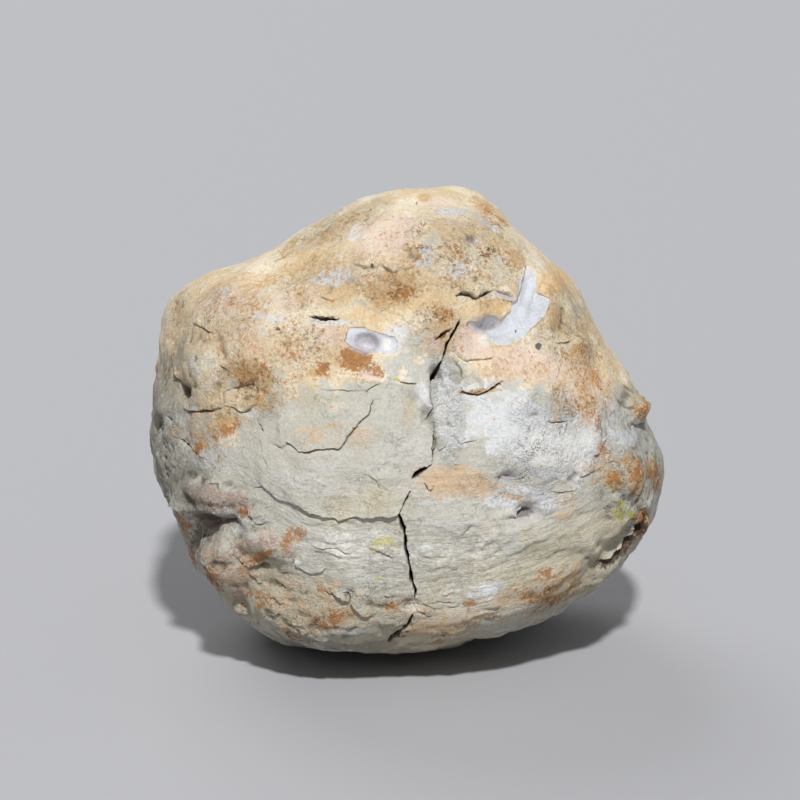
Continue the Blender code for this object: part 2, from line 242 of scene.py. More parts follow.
# Smaller lumps and hollows
SMALL_LUMPS = features(Lump, [
    (181, 391, 11, 13, -5, 20),  # hole under the rough lobe
    (158, 427, 7, 18, -5),  # dark furrow at the left rim
    (212, 519, 38, 12, -8, -8),  # under the left roll
    (192, 540, 12, 30, -4.5, -12),  # beside the lower left lobe
    (214, 492, 44, 13, 3.2, -12), (226, 546, 22, 22, 4, 20), (262, 540, 26, 14, 2.2, -10),
    (250, 520, 14, 8, 1.6, -30),
    (205, 366, 24, 26, 1.8),  # crown of the rough lobe
    (222, 352, 8, 20, -2.2, 24),  # seam right of the rough lobe
    (244, 385, 20, 7, -2.5, 20), (228, 400, 20, 8, 1.2, 20), (203, 425, 26, 18, 1.2, -20),
    (618, 544, 34, 10, -3.5, 45),  # floor of the right groove
    (526, 514, 14, 9, -3.5),  # side pit
    (508, 478, 16, 9, -2.6, 14), (524, 490, 22, 7, 0.9, 6), (545, 508, 10, 9, 1.4),
    (503, 514, 10, 6, 1.2, 20), (540, 468, 12, 26, 1.6, 14), (570, 478, 22, 16, -1.8),
    (590, 440, 14, 22, 1.4, 10),
    (492, 323, 22, 10, -4.2, 10),  # hollow under the flake in the bent pocket
    (484, 336, 9, 8, 1.2, 30),  # white folds in the bent pocket
    (529, 300, 6, 28, 1.3, -12), (538, 292, 4, 26, -1, -24), (519, 288, 4, 20, -1, -4),
    (632, 402, 6, 5, 1.5),  # crumbs of the side knob
    (637, 406, 17, 20, 3), (633, 414, 6, 4, 1.2), (640, 403, 4, 4, -1.6), (631, 410, 4, 5, -1.5),
    (639, 415, 4, 4, -1.4), (448, 412, 9, 30, -1.2, 4), (424, 418, 7, 16, -1.8, 10), (410, 604, 16, 9, -2),
    (548, 318, 16, 18, 1.4), (575, 342, 18, 14, 1.6),
    (168, 345, 7, 50, 1.2, 2),  # band at the left rim
    (182, 441, 9, 6, -1.5, -30),
    (252, 393, 20, 12, -1.2, 8),  # crumbly hollow
    (245, 372, 24, 14, -1, -20),
    (483, 277, 14, 17, 0.8),  # smooth flake over the slit
    (452, 226, 30, 12, 0.8, 10), (415, 258, 26, 14, -1, 20), (388, 236, 40, 22, 1, 12),
    (350, 285, 30, 16, -1, 12), (322, 262, 34, 14, 1, 24), (233, 286, 34, 16, 1.2, 14),
    (278, 300, 26, 14, 1, 10), (205, 318, 26, 20, 1),
    (325, 300, 14, 8, 0.9),  # chip over the left slit
    (435, 373, 6, 12, -4, 28),  # hollow over the plates' seam
    (447, 392, 14, 34, 0.8, 4),  # crumbly band
    (560, 365, 40, 20, 1, -14), (590, 400, 26, 34, 1, 8),
    (554, 411, 20, 14, 1.4),  # round lump with a crack
    (604, 440, 6, 34, -1.2, 6),  # seam beside the right lump
    (622, 440, 20, 14, 1, -8), (634, 478, 12, 24, 1.4, 14), (653, 470, 8, 18, 1, 10),
    (645, 505, 8, 14, 1.2, 40),
    (643, 524, 12, 14, 2.2, 30),  # rusty lobe in the groove
    (527, 540, 60, 16, 0.8, 4), (470, 548, 50, 12, -0.6, 4), (560, 575, 40, 14, 0.8, 30),
    (232, 545, 18, 12, 1.2, -20), (222, 578, 16, 20, 1, 20), (262, 568, 20, 9, -1.2, -30),
    (264, 600, 22, 13, 1.4, -10), (330, 614, 26, 12, 1, -6), (350, 592, 8, 6, -1.6, -30),
    (372, 602, 24, 8, -1, -12), (390, 620, 26, 10, 1.2), (455, 618, 34, 12, 1, 8),
    (300, 632, 30, 10, 0.8, -12), (515, 600, 34, 10, -0.8, 18),
])

# The larger ledges, most of which the solid has too
LEDGES = features(Ledge, [
    ([(246, 492), (256, 486), (266, 485), (272, 490), (279, 497), (290, 500), (298, 502), (307, 506),
      (313, 510), (325, 512), (341, 518), (354, 514), (375, 514), (397, 512), (405, 502),
      (412, 489)], 1.7, 70),  # plate foot
    ([(413, 476), (430, 463), (433, 440), (431, 412), (428, 392), (430, 375)], 1.4, 50),
    ([(268, 440), (282, 447), (288, 440), (300, 451), (318, 448), (340, 447), (352, 430), (360, 421),
      (370, 412), (374, 398)], 1, 40),  # upper plate foot
    ([(178, 404), (190, 411), (200, 411), (213, 408), (230, 405), (246, 411),
      (264, 402)], 0.9, 34),  # rough lobe foot
    ([(184, 408), (179, 392), (174, 375), (173, 350), (177, 325), (181, 305),
      (190, 286)], -3, 22),  # left groove
    ([(166, 492), (185, 505), (205, 515), (222, 520), (234, 521)], 3.2, 30),
    ([(458, 397), (461, 389), (469, 391), (477, 393), (483, 391), (489, 387), (495, 383),
      (504, 381)], 1.5, 30),  # broken band step
    ([(453, 350), (462, 359), (480, 360), (498, 356)], 0.7, 30),  # pink foot
    ([(294, 558), (299, 564), (304, 569), (311, 573), (319, 571), (326, 567)], 1.3, 24),
    ([(320, 586), (340, 592), (352, 597), (362, 610), (378, 619)], 1.6, 30),  # low scale
    ([(592, 562), (600, 552), (615, 536), (630, 521), (641, 508)], 3, 40),  # right lip
    ([(452, 295), (462, 291), (469, 292), (476, 297), (484, 294), (494, 289), (508, 293),
      (519, 298)], 1.2, 30),  # slit roof
])

# Thinner ledges
THIN_LEDGES = features(Ledge, [
    ([(213, 408), (224, 401), (229, 391), (235, 386), (243, 383), (254, 382), (261, 390)], 0.7, 20),
    ([(308, 391), (318, 388), (340, 389), (360, 391), (374, 387)], 0.7, 24),
    ([(452, 358), (458, 365), (462, 371), (463, 381)], 1.3, 20),
    ([(455, 349), (463, 357), (470, 362)], 0.7, 12),
    ([(452, 434), (457, 437), (461, 444), (468, 440), (477, 437), (488, 439), (496, 443)], 0.7, 22),
    ([(437, 450), (447, 446)], 0.6, 12), ([(397, 379), (405, 380), (412, 382), (420, 383)], 0.9, 16),
    ([(310, 544), (325, 546), (340, 547), (348, 550), (353, 554)], 0.8, 20),
    ([(366, 546), (373, 548), (385, 550), (397, 556)], 0.7, 18),
    ([(205, 480), (213, 481), (220, 481), (228, 490), (240, 493)], 1.4, 20),
    ([(243, 495), (247, 505), (255, 515), (258, 527)], 1.4, 18),
    ([(236, 549), (247, 563), (256, 565), (266, 567)], 2.2, 20),
    ([(249, 570), (256, 577), (263, 584)], 1.2, 16), ([(269, 593), (278, 594), (286, 602)], 1, 16),
    ([(250, 604), (257, 610), (264, 613), (274, 613), (284, 608)], 1.4, 20),
    ([(297, 623), (306, 629), (315, 634), (332, 639)], 1, 20),
    ([(326, 583), (335, 589), (344, 592)], 1, 14),
    ([(546, 483), (551, 491), (562, 491), (577, 489)], 1.1, 18),
    ([(579, 478), (587, 471), (596, 470)], 0.9, 14), ([(605, 464), (612, 461), (623, 464)], 0.9, 14),
    ([(511, 519), (514, 510), (521, 505), (530, 504), (538, 508)], 2.2, 16),  # over the pit
    ([(240, 526), (225, 525), (212, 528), (206, 538), (204, 550), (209, 563), (217, 577)], 1.3, 24),
    ([(238, 500), (246, 506), (252, 513), (260, 521), (270, 524)], 0.9, 14),
    ([(215, 582), (226, 588), (240, 594)], 1.2, 14),
    ([(175, 372), (178, 384), (181, 398), (184, 410)], -2, 8),
    ([(591, 456), (600, 448), (606, 440), (603, 424)], 1.2, 14),
    ([(497, 474), (508, 481), (520, 478), (528, 470)], 1, 14),
    ([(553, 452), (550, 466), (552, 480)], 1.2, 12), ([(627, 420), (636, 424), (646, 420)], 1.4, 12),
    ([(282, 266), (300, 262), (322, 256)], 0.8, 16), ([(352, 262), (366, 266), (380, 262)], 0.7, 14),
    ([(318, 296), (332, 300), (346, 296)], 0.8, 14),
    ([(330, 205), (350, 214), (372, 212), (392, 206)], 0.8, 16),
    ([(188, 322), (204, 328), (216, 334)], 0.6, 16), ([(540, 336), (556, 344), (572, 340)], 1.2, 16),
    ([(380, 262), (392, 272), (406, 270), (418, 262)], 0.8, 14),
    ([(436, 254), (445, 258), (455, 261)], 1, 14), ([(274, 357), (280, 350), (288, 345)], 0.8, 14),
    ([(217, 340), (219, 352), (224, 364), (232, 372)], 1.2, 16),
    ([(196, 449), (207, 442), (220, 437), (233, 428), (246, 425)], 0.5, 20),
    ([(258, 434), (262, 446), (266, 458), (272, 468)], 0.6, 16),
    ([(362, 472), (370, 473), (378, 480), (382, 488)], 0.6, 16),
    ([(258, 264), (272, 262), (290, 250), (310, 238)], 1.2, 20),
    ([(490, 226), (500, 232), (512, 243), (520, 256)], 1, 16),
    ([(602, 420), (604, 436), (601, 452), (596, 462)], 1, 14),
    ([(440, 596), (452, 592), (466, 594), (480, 588)], 0.8, 18),
    ([(470, 616), (486, 611), (500, 612)], 0.8, 16),
    ([(420, 600), (432, 606), (446, 608), (462, 606)], 1.2, 18),
], far=[
    ([(300, 470), (330, 478), (360, 476), (390, 482)], -1.2, 26),
    ([(220, 380), (250, 392), (280, 388), (310, 402), (345, 398)], 2.2, 36),
    ([(400, 330), (440, 342), (470, 338), (500, 352), (540, 350)], 1.8, 30),
    ([(380, 520), (420, 532), (460, 528), (500, 545), (545, 540)], 2.4, 36),
    ([(230, 520), (262, 528), (290, 524), (318, 540)], 1.8, 28),
    ([(300, 270), (330, 262), (370, 268), (400, 258)], 1.4, 26),
    ([(560, 430), (585, 442), (612, 438)], 1.6, 24),
    ([(450, 230), (475, 244), (505, 250), (530, 268)], 1.8, 24),
    ([(200, 330), (226, 322), (250, 334), (276, 330)], 1.8, 24),
    ([(340, 340), (372, 350), (398, 344)], 1.4, 20),
    ([(270, 450), (300, 440), (332, 448), (352, 462)], 1.6, 26),
    ([(420, 470), (452, 462), (486, 474)], 1.4, 22), ([(200, 450), (222, 470), (236, 498)], 2, 26),
    ([(520, 470), (548, 482), (580, 476), (604, 488)], 1.8, 26),
    ([(300, 590), (340, 600), (380, 594), (420, 604)], 1.8, 26),
    ([(600, 350), (590, 380), (600, 410)], 1.6, 22),
])

CRACKS = features(Crack, [
    ([(398, 512), (402, 530), (405, 541), (407, 552), (411, 570), (412, 580), (415, 590),
      (413, 600)], 3.4, 9),  # front
    ([(413, 612), (409, 625), (398, 634), (388, 643)], 4.4, 9),
    ([(398, 514), (404, 504), (410, 492)], 2.2, 6), ([(411, 480), (418, 474), (430, 465)], 4.6, 6),
    ([(431, 382), (433, 376), (437, 368), (443, 358)], 4.6, 6),
    ([(443, 357), (447, 344), (451, 339), (453, 334), (457, 326), (460, 319)], 2.8, 6),
    ([(435, 339), (441, 335), (447, 331), (453, 328)], 2.4, 4),
    ([(455, 295), (462, 293), (469, 294), (476, 298), (484, 294), (491, 291)], 3.2, 6),
    ([(309, 316), (316, 317), (320, 318), (330, 319), (338, 319)], 3.4, 5),
    ([(366, 392), (372, 388), (381, 383)], 1.4, 2),
    ([(374, 400), (370, 412), (367, 417), (360, 421), (353, 430)], 1.2, 2),
    ([(348, 435), (344, 443)], 1.2, 2), ([(423, 484), (428, 490), (431, 491), (434, 486)], 1.4, 2),
    ([(461, 537), (466, 532), (471, 526)], 1.2, 1),
    ([(643, 513), (635, 525), (626, 537), (616, 548), (605, 560)], 9, 5),  # right groove
    ([(547, 423), (553, 423), (560, 421), (571, 420)], 1.4, 1.5),
    ([(201, 412), (207, 411), (213, 409), (220, 404)], 1.6, 2),
    ([(226, 394), (232, 388), (240, 384), (252, 381)], 1.5, 2),
    ([(252, 384), (257, 388), (260, 394)], 1.6, 2), ([(431, 407), (428, 415), (425, 421)], 1.8, 2),
    ([(433, 431), (432, 440), (431, 448), (431, 462)], 1.3, 3),
    ([(258, 421), (261, 428), (263, 435)], 2.2, 2), ([(268, 593), (278, 594), (287, 603)], 1.3, 2),
    ([(343, 589), (350, 594), (353, 604), (366, 615)], 2, 3),
    ([(412, 606), (420, 612), (432, 616)], 1.2, 2), ([(500, 300), (508, 302), (516, 302)], 1.4, 2),
    ([(157, 414), (158, 426), (157, 442), (160, 456)], 3.2, 2.5),
    ([(168, 414), (172, 424), (173, 430)], 2.8, 2.5), ([(171, 440), (173, 455), (176, 470)], 2.6, 2.5),
    ([(221, 336), (217, 345), (218, 356)], 1.6, 2), ([(232, 590), (240, 595)], 2, 2),
    ([(177, 437), (184, 443), (193, 451), (204, 458)], 2.4, 2),
    ([(163, 440), (165, 460), (169, 480)], 2, 2), ([(436, 600), (444, 604), (456, 603)], 1.4, 2),
], far=[
    ([(350, 300), (362, 330), (356, 360), (368, 392), (360, 420)], 2, 5),
    ([(480, 420), (500, 440), (498, 468), (512, 490)], 1.8, 4),
])

# Pockets where the rind is gone from the white quartz under it
BENT_POCKET = Pocket([
    (524, 265), (531, 270), (536, 278), (535, 286), (541, 293), (550, 298), (550, 304), (546, 313),
    (544, 318), (533, 328), (526, 336), (516, 343), (503, 346), (490, 343), (483, 337), (476, 332),
    (467, 326), (468, 322), (480, 321), (486, 315), (495, 315), (503, 318), (510, 311), (511, 303),
    (518, 299), (519, 294), (522, 286), (523, 278), (524, 265),
], 1.2, 1.5, 10)
OVAL_POCKET = Pocket([
    (350, 328), (364, 328), (377, 333), (395, 337), (399, 344), (397, 352), (390, 357), (382, 354),
    (370, 352), (358, 350), (350, 346), (344, 341), (346, 333), (350, 328),
], 0.5, 2, 6)
OVAL_PIT = Pocket([
    (353, 340), (356, 335), (362, 333), (370, 333), (377, 336), (381, 341), (380, 349), (372, 352),
    (363, 351), (356, 348), (353, 340),
], 2.2, 2, 10)
POCKETS = (BENT_POCKET, OVAL_POCKET, OVAL_PIT)

# Below this line the cream plates lie bare, above it the rind keeps its ochre skin
SKIN_FOOT = [
    (130, 372), (178, 405), (214, 412), (232, 430), (250, 424), (266, 416), (286, 412), (298, 392),
    (340, 387), (378, 384), (400, 374), (424, 352), (440, 348), (462, 362), (466, 384), (500, 383),
    (535, 392), (572, 398), (600, 418), (618, 394), (690, 392),
]

# Parts of the surface with a colour or a roughness of their own, some of them painted shade
ZONES = {
    "straw": features(Patch, [
        (560, 560, 90, 60, 0.8, 20), (480, 580, 90, 40, 0.9, 8), (330, 610, 120, 40, 0.8),
        (420, 640, 90, 20), (300, 400, 40, 20, 0.6), (560, 520, 60, 20, 0.6, 10), (410, 412, 8, 14, 0.9),
        (385, 545, 30, 12, 0.6), (255, 575, 50, 40, 0.7), (350, 500, 60, 30, 0.5),
    ], far=[
        (430, 430, 110, 60, 0.9), (300, 520, 110, 60, 0.9),
    ]),
    "ochre": features(Patch, [
        (480, 391, 22, 3, 1.2, 6), (393, 288, 28, 16, 1.1, 12), (452, 252, 22, 11, 0.65, -4),
        (487, 250, 15, 11, 0.55, -30), (486, 208, 27, 9, 1, -42), (412, 246, 9, 12, 0.8, 50),
        (426, 197, 10, 4, 0.9), (457, 284, 12, 9, 0.7), (483, 277, 13, 15, 0.6),
        (552, 318, 14, 17, 0.9, 10), (490, 306, 22, 8, 0.9, 4), (442, 314, 15, 10, 1, -20),
        (515, 262, 10, 13, 0.9, -30), (225, 424, 22, 9, 1, 26), (202, 445, 8, 6, 0.9, 40),
        (300, 300, 12, 12, 0.8), (268, 280, 13, 8, 0.8, 30), (318, 372, 12, 9, 0.9), (352, 362, 18, 10),
        (333, 426, 15, 7, 0.7), (252, 374, 26, 14, 0.9, -20), (268, 400, 24, 11, 0.8),
        (330, 232, 36, 8, 0.8, 28), (290, 246, 22, 6, 0.8, 36), (170, 300, 7, 20, 0.9), (612, 480, 13, 10),
        (633, 476, 10, 24, 1.1, 10), (651, 472, 7, 13, 1, 20), (600, 450, 8, 11, 0.9, 40),
        (638, 405, 13, 14, 0.9), (556, 408, 8, 22, 0.7), (574, 352, 16, 9, 0.9, -10),
        (583, 396, 15, 14, 0.7), (592, 372, 14, 20, 0.7), (560, 588, 30, 11, 0.8, 34),
        (378, 318, 24, 7, 0.6, -14), (215, 345, 22, 20, 0.6), (560, 285, 13, 24, 0.8, -36),
        (505, 342, 16, 7, 0.8, 20), (320, 270, 30, 14, 0.6, 20), (640, 520, 12, 14, 1.1, 30),
    ], far=[
        (330, 300, 70, 30, 0.8, 20), (520, 300, 50, 26, 0.9, -20), (250, 350, 40, 30, 0.7),
        (440, 420, 60, 18, 0.8, 14), (590, 450, 26, 40, 0.9), (300, 560, 50, 18, 0.8),
    ]),
    "rust": features(Patch, [
        (357, 357, 14, 9, 1.35, -10), (351, 366, 10, 8, 0.9), (322, 368, 7, 8, 0.9),
        (374, 370, 12, 6, 0.8, -20), (287, 540, 6, 12, 0.95, -16), (299, 535, 10, 9, 0.85),
        (264, 555, 13, 5, 1.2, 24), (230, 430, 18, 4, 0.8, 28), (198, 448, 8, 5, 0.8, 40),
        (219, 458, 5, 6, 0.7, 20), (262, 598, 20, 13, 0.55), (330, 618, 20, 11, 0.8),
        (316, 588, 24, 5, 0.6, -6), (386, 604, 22, 5, 0.6, 8), (546, 574, 8, 7, 0.7),
        (532, 592, 26, 9, 0.7, 20), (470, 604, 9, 8, 0.7), (561, 543, 6, 5, 0.6), (634, 472, 9, 14, 0.8),
        (612, 479, 10, 7, 0.7, 10), (640, 492, 8, 12, 0.8, 30), (600, 448, 7, 9, 0.8, 40),
        (652, 474, 6, 10, 0.8), (488, 255, 15, 8, 0.7, -30), (455, 252, 17, 6, 0.55),
        (400, 293, 16, 9, 0.75, 10), (492, 214, 20, 5, 0.7, -44), (443, 334, 10, 3, 1, 30),
        (637, 412, 7, 8, 0.7), (246, 512, 8, 7, 0.8, -30), (212, 572, 10, 26, 0.8, 26),
        (238, 562, 20, 10, 0.45, -30), (192, 556, 7, 26, 0.8, -14), (545, 604, 34, 8, 0.6, 14),
        (437, 635, 12, 8, 0.6), (596, 424, 4, 12, 0.6), (180, 520, 8, 18, 0.9, 20),
        (657, 482, 5, 24, 0.9, 8), (442, 314, 14, 8, 0.6, -20), (640, 524, 12, 16, 1.1, 30),
        (235, 425, 18, 6, 0.5, 26), (405, 600, 7, 4, 0.8), (300, 632, 26, 6, 0.5, -8),
        (300, 346, 60, 30, 0.3), (230, 310, 50, 30, 0.28), (450, 250, 70, 44, 0.22),
        (590, 380, 30, 40, 0.4, 10), (530, 362, 60, 20, 0.22, -8), (250, 380, 50, 24, 0.44),
    ], far=[
        (280, 320, 36, 14, 0.7), (560, 470, 24, 18, 0.8, 20), (400, 580, 40, 10, 0.7),
    ]),
    # Brown stain, and painted shade in grooves, creases, cracks and under ledges
    "brown_and_shade": features(Patch, [
        (216, 500, 30, 9, 0.5, -12), (634, 527, 14, 9, 1.2, 45), (617, 550, 24, 8, 1.3, 45),
        (206, 534, 20, 5, 0.7, -14), (560, 618, 30, 5, 0.5, 18), (300, 636, 30, 5, 0.5, -12),
        (187, 548, 4, 16, 0.7, -10), (480, 391, 20, 3, 0.6, 6), (244, 384, 14, 2, 0.7, 20),
        (208, 410, 8, 2, 0.8), (324, 318, 14, 2), (260, 565, 12, 3, 0.9, -10), (444, 334, 8, 2, 0.8, 32),
        (496, 385, 10, 2, 0.8, 24), (400, 636, 14, 2, 0.8, 30), (422, 471, 10, 2, 1, 35),
        (348, 592, 6, 3, 0.6, -30), (644, 500, 4, 8, 0.7, 20),
    ]),
    "gold": features(Patch, [
        (556, 276, 14, 34, 1.1, -42), (585, 325, 12, 26, 0.9, -20), (395, 300, 60, 16, 0.8),
        (345, 290, 44, 20, 0.8), (300, 262, 44, 10, 0.8, 25), (240, 285, 54, 12, 0.7, 10),
        (168, 330, 12, 40, 0.7), (500, 245, 24, 14, 0.7, -30), (270, 345, 50, 16, 0.7),
        (235, 395, 44, 14, 0.6),
    ], far=[
        (420, 300, 200, 60, 0.6),
    ]),
    "chalk": features(Patch, [
        (350, 548, 64, 26, 0.62), (440, 572, 56, 30, 0.58), (480, 552, 54, 20, 0.62),
        (628, 566, 26, 5, 1, 42), (252, 414, 9, 5, 0.9), (484, 338, 12, 7, 0.8, 30), (410, 606, 12, 6, 0.9),
        (385, 345, 9, 6, 0.9), (646, 498, 6, 10, 0.9, 30), (560, 448, 46, 30, 0.7),
        (446, 415, 14, 30, 0.8, 4), (205, 370, 30, 24, 0.5),
    ]),
    "mauve": features(Patch, [
        (218, 497, 34, 12, 1.1, -12), (240, 503, 12, 8, 1, -20), (236, 552, 26, 18, 0.75, -30),
        (244, 580, 22, 26, 0.75, 30), (222, 562, 12, 30, 0.8, 20), (205, 520, 34, 12, 0.9, -10),
        (262, 596, 26, 12, 0.5), (289, 552, 8, 7, 0.9), (264, 540, 20, 9, 0.7), (640, 540, 20, 16, 0.8, 40),
        (560, 620, 60, 10, 0.6, 20),
    ]),
    "pink": features(Patch, [
        (388, 236, 36, 22, 1, 20), (438, 203, 18, 7, 0.9), (228, 302, 34, 16, 1, 22),
        (248, 338, 36, 20, 0.6), (470, 342, 22, 18), (530, 366, 50, 20, 1, -8), (575, 385, 26, 26, 0.9),
        (330, 336, 20, 10, 0.9), (456, 222, 14, 9, 0.5), (228, 556, 26, 34, 0.6, 20),
        (268, 540, 24, 12, 0.6), (300, 300, 40, 16, 0.7, 10), (438, 344, 12, 10, 0.9),
        (370, 372, 16, 8, 0.8), (442, 314, 14, 10, 0.7),
    ], far=[
        (500, 240, 60, 40, 0.8), (300, 420, 60, 30, 0.7, 10),
    ]),
    "white": features(Patch, [
        (500, 418, 66, 34, 1, -8), (446, 410, 13, 50, 1.1, 4), (560, 448, 50, 36, 1.2),
        (624, 436, 18, 10, 1.1), (530, 500, 50, 14, 0.9), (425, 256, 13, 16, 0.9), (455, 211, 18, 5, 1, 4),
        (485, 220, 20, 5, 0.9, -38), (457, 272, 9, 9), (473, 240, 10, 6, 0.7, 20), (330, 322, 26, 5),
        (270, 318, 20, 7, 0.9), (202, 461, 9, 7, 1.1, -30), (335, 276, 30, 9, 0.9, 10),
        (226, 294, 14, 6, 0.8, 20), (422, 400, 10, 20, 0.7), (320, 354, 12, 6, 0.5),
        (480, 590, 24, 9, 0.9, 10), (400, 340, 16, 18, 0.9), (280, 304, 20, 10, 0.6),
        (350, 240, 30, 10, 0.4, 20), (612, 420, 12, 24, 0.7), (425, 550, 14, 8, 0.5),
        (300, 560, 8, 5, 0.45), (395, 590, 20, 8, 0.6),
    ], far=[
        (360, 500, 60, 40, 0.7, 20), (520, 520, 50, 26, 0.7),
    ]),
    # Grey rind, and painted shade on the left flank, along the bottom and under the left roll
    "grey_and_shade": features(Patch, [
        (163, 430, 20, 90, 1, 2), (184, 478, 26, 34, 0.9, 30), (194, 380, 18, 30, 0.5),
        (244, 376, 26, 12, 0.6, -20), (206, 510, 26, 12, 0.9, -20), (350, 650, 120, 12, 0.8),
        (520, 634, 90, 12, 0.6, 14), (410, 400, 12, 20, 0.5), (180, 355, 8, 40, 0.7),
        (300, 642, 50, 12, 0.8, -14), (590, 600, 40, 12, 0.6, 40), (248, 480, 20, 10, 0.4, -10),
        (580, 300, 12, 30, 0.5, -30), (426, 420, 7, 14, 0.7, 10), (435, 374, 6, 10, 0.7, 20),
    ], far=[
        (180, 500, 50, 90, 0.8), (400, 630, 160, 40, 0.8), (470, 380, 40, 60, 0.7),
    ]),
    "dust": features(Patch, [
        (455, 482, 46, 17), (425, 480, 14, 10, 0.8), (566, 500, 14, 22, 0.7, 20), (600, 470, 22, 22, 0.8),
        (520, 372, 64, 14, 0.7), (300, 345, 90, 40, 0.6), (240, 305, 60, 30, 0.65, 10),
        (450, 250, 80, 50, 0.5), (335, 436, 46, 16, 0.55), (290, 592, 70, 24, 0.6), (230, 565, 40, 30, 0.6),
        (545, 590, 66, 18, 0.75, 20), (330, 618, 46, 16, 0.8), (380, 270, 60, 30, 0.6),
        (583, 380, 34, 50, 0.8, 10), (405, 606, 40, 8, 0.7), (455, 622, 60, 14, 0.7, 8),
        (562, 515, 8, 6, 0.9), (205, 430, 36, 24, 0.7, 20), (515, 497, 22, 4, 0.8, -10),
        (440, 330, 24, 24, 0.8),
    ], far=[
        (400, 300, 120, 60, 0.7), (350, 540, 90, 40, 0.7),
    ]),
    # Grey-lilac of pit floors, mostly painted shade in pits, slits and under overhangs
    "pit_and_shade": features(Patch, [
        (366, 343, 15, 10, 1.1), (486, 322, 18, 7, 0.9, 10), (505, 297, 17, 3, 1.2, -12),
        (520, 285, 4, 16, 0.8, -10), (516, 303, 5, 8, 0.6), (212, 518, 26, 8, 0.7, -8),
        (526, 513, 18, 9, 1, 6), (510, 478, 16, 8, 0.8, 14),
    ]),
    "lichen": features(Patch, [
        (397, 379, 3, 2), (617, 502, 5, 4), (614, 512, 6, 6, 1, 20), (627, 513, 4, 4), (655, 457, 3, 4),
        (662, 461, 2, 3), (612, 491, 3, 3), (384, 541, 14, 5, 0.62, 10), (374, 549, 9, 4, 0.6),
        (378, 575, 8, 5, 0.55, 20), (505, 344, 20, 6, 0.5, 20),
    ], far=[
        (300, 450, 6, 5), (520, 410, 5, 6),
    ]),
    "speck": features(Patch, [
        (539, 347, 4, 4), (418, 202, 2, 2), (487, 251, 2, 2), (599, 390, 2, 2), (278, 329, 2, 2),
        (517, 330, 2, 2), (374, 264, 2, 2), (620, 441, 2, 1.5), (388, 229, 2, 1.5), (375, 276, 1.5, 1.5),
    ]),
    "rough": features(Patch, [
        (176, 420, 40, 130, 1.2), (205, 372, 40, 44, 1.5), (252, 387, 30, 28, 1.3),
        (205, 505, 66, 26, 1, -16), (232, 566, 54, 64, 1.1, 20), (280, 606, 54, 34, 1, -10),
        (340, 618, 90, 34, 0.9), (446, 400, 15, 54, 1.2, 4), (630, 470, 38, 64, 1.2, 10),
        (636, 406, 22, 22, 1.4), (570, 590, 76, 22, 0.8, 34), (460, 255, 60, 44, 0.8),
        (392, 286, 38, 20, 0.9, 10), (565, 325, 34, 34), (540, 470, 50, 32, 0.7),
        (340, 225, 54, 14, 0.8, 26), (552, 412, 38, 24, 0.8), (330, 280, 60, 30, 0.6, 10),
        (225, 320, 50, 40, 0.6), (500, 625, 90, 16, 0.7, 10), (300, 345, 60, 30, 0.5),
        (440, 330, 30, 30, 0.8),
    ], far=[
        (250, 420, 90, 90), (560, 470, 70, 90), (400, 560, 160, 60), (420, 300, 120, 60, 0.7),
    ]),
}

# How its unseen sides are covered: the size of each zone's patches in metres, and how rare they are
SCATTER = {
    "ochre": (0.026, 0.05),
    "rust": (0.017, 0.20),
    "pink": (0.034, 0.05),
    "white": (0.028, 0.10),
    "grey_and_shade": (0.040, 0.10),
    "dust": (0.030, -0.10),
    "straw": (0.040, 0.0),
    "mauve": (0.024, 0.20),
    "rough": (0.036, -0.30),
}

# The colours of the stone in even light, as red, green and blue from 0 to 255
COLOURS = {
    "cream": (199, 195, 181),
    "pale_cream": (209, 207, 198),
    "straw": (204, 194, 166),
    "skin": (243, 229, 201),
    "tan": (230, 206, 167),
    "chalk": (243, 239, 229),
    "ochre": (212, 173, 122),
    "rust": (178, 121, 70),
    # brown stain, and painted shade in grooves, creases and under ledges
    "brown_and_shade": (92, 70, 54),
    "pink": (234, 209, 192),
    "mauve": (182, 160, 145),
    "gold": (232, 198, 148),
    "white": (226, 227, 227),
    # grey rind, and painted shade on the left flank and along the bottom
    "grey_and_shade": (152, 147, 134),
    "dust": (217, 184, 146),
    "quartz": (208, 211, 216),
    # grey-lilac painted shade in pits and under overhangs
    "pit_and_shade": (202, 196, 200),
    "lichen": (196, 190, 84),
    "speck": (98, 94, 92),
    # painted shade with some dirt, for hollows and the edges of flakes
    "dirt_and_shade": (104, 92, 76),
    # painted shade, with a little dirt, on the floors of cracks
    "crack": (62, 48, 38),
    "floor": (180, 180, 183),
    "sky": (206, 210, 216),
}

# The noises in the rind's colour and bump: the size of their coarsest waves in metres, detail and roughness
NOISES = {
    "bends": (0.03, 2, 0.55),
    "cloud": (0.022, 4, 0.6),
    "streaks": (0.016, 5, 0.6),
    "breaks": (0.013, 3, 0.55),
    "chips": (0.008, 6, 0.66),
    "layers": (0.0075, 5, 0.6),
    "grains": (0.0016, 4, 0.75),
    "speckle": (0.0011, 4, 0.75),
    "dots": (0.0009, 2, 0.55),
}

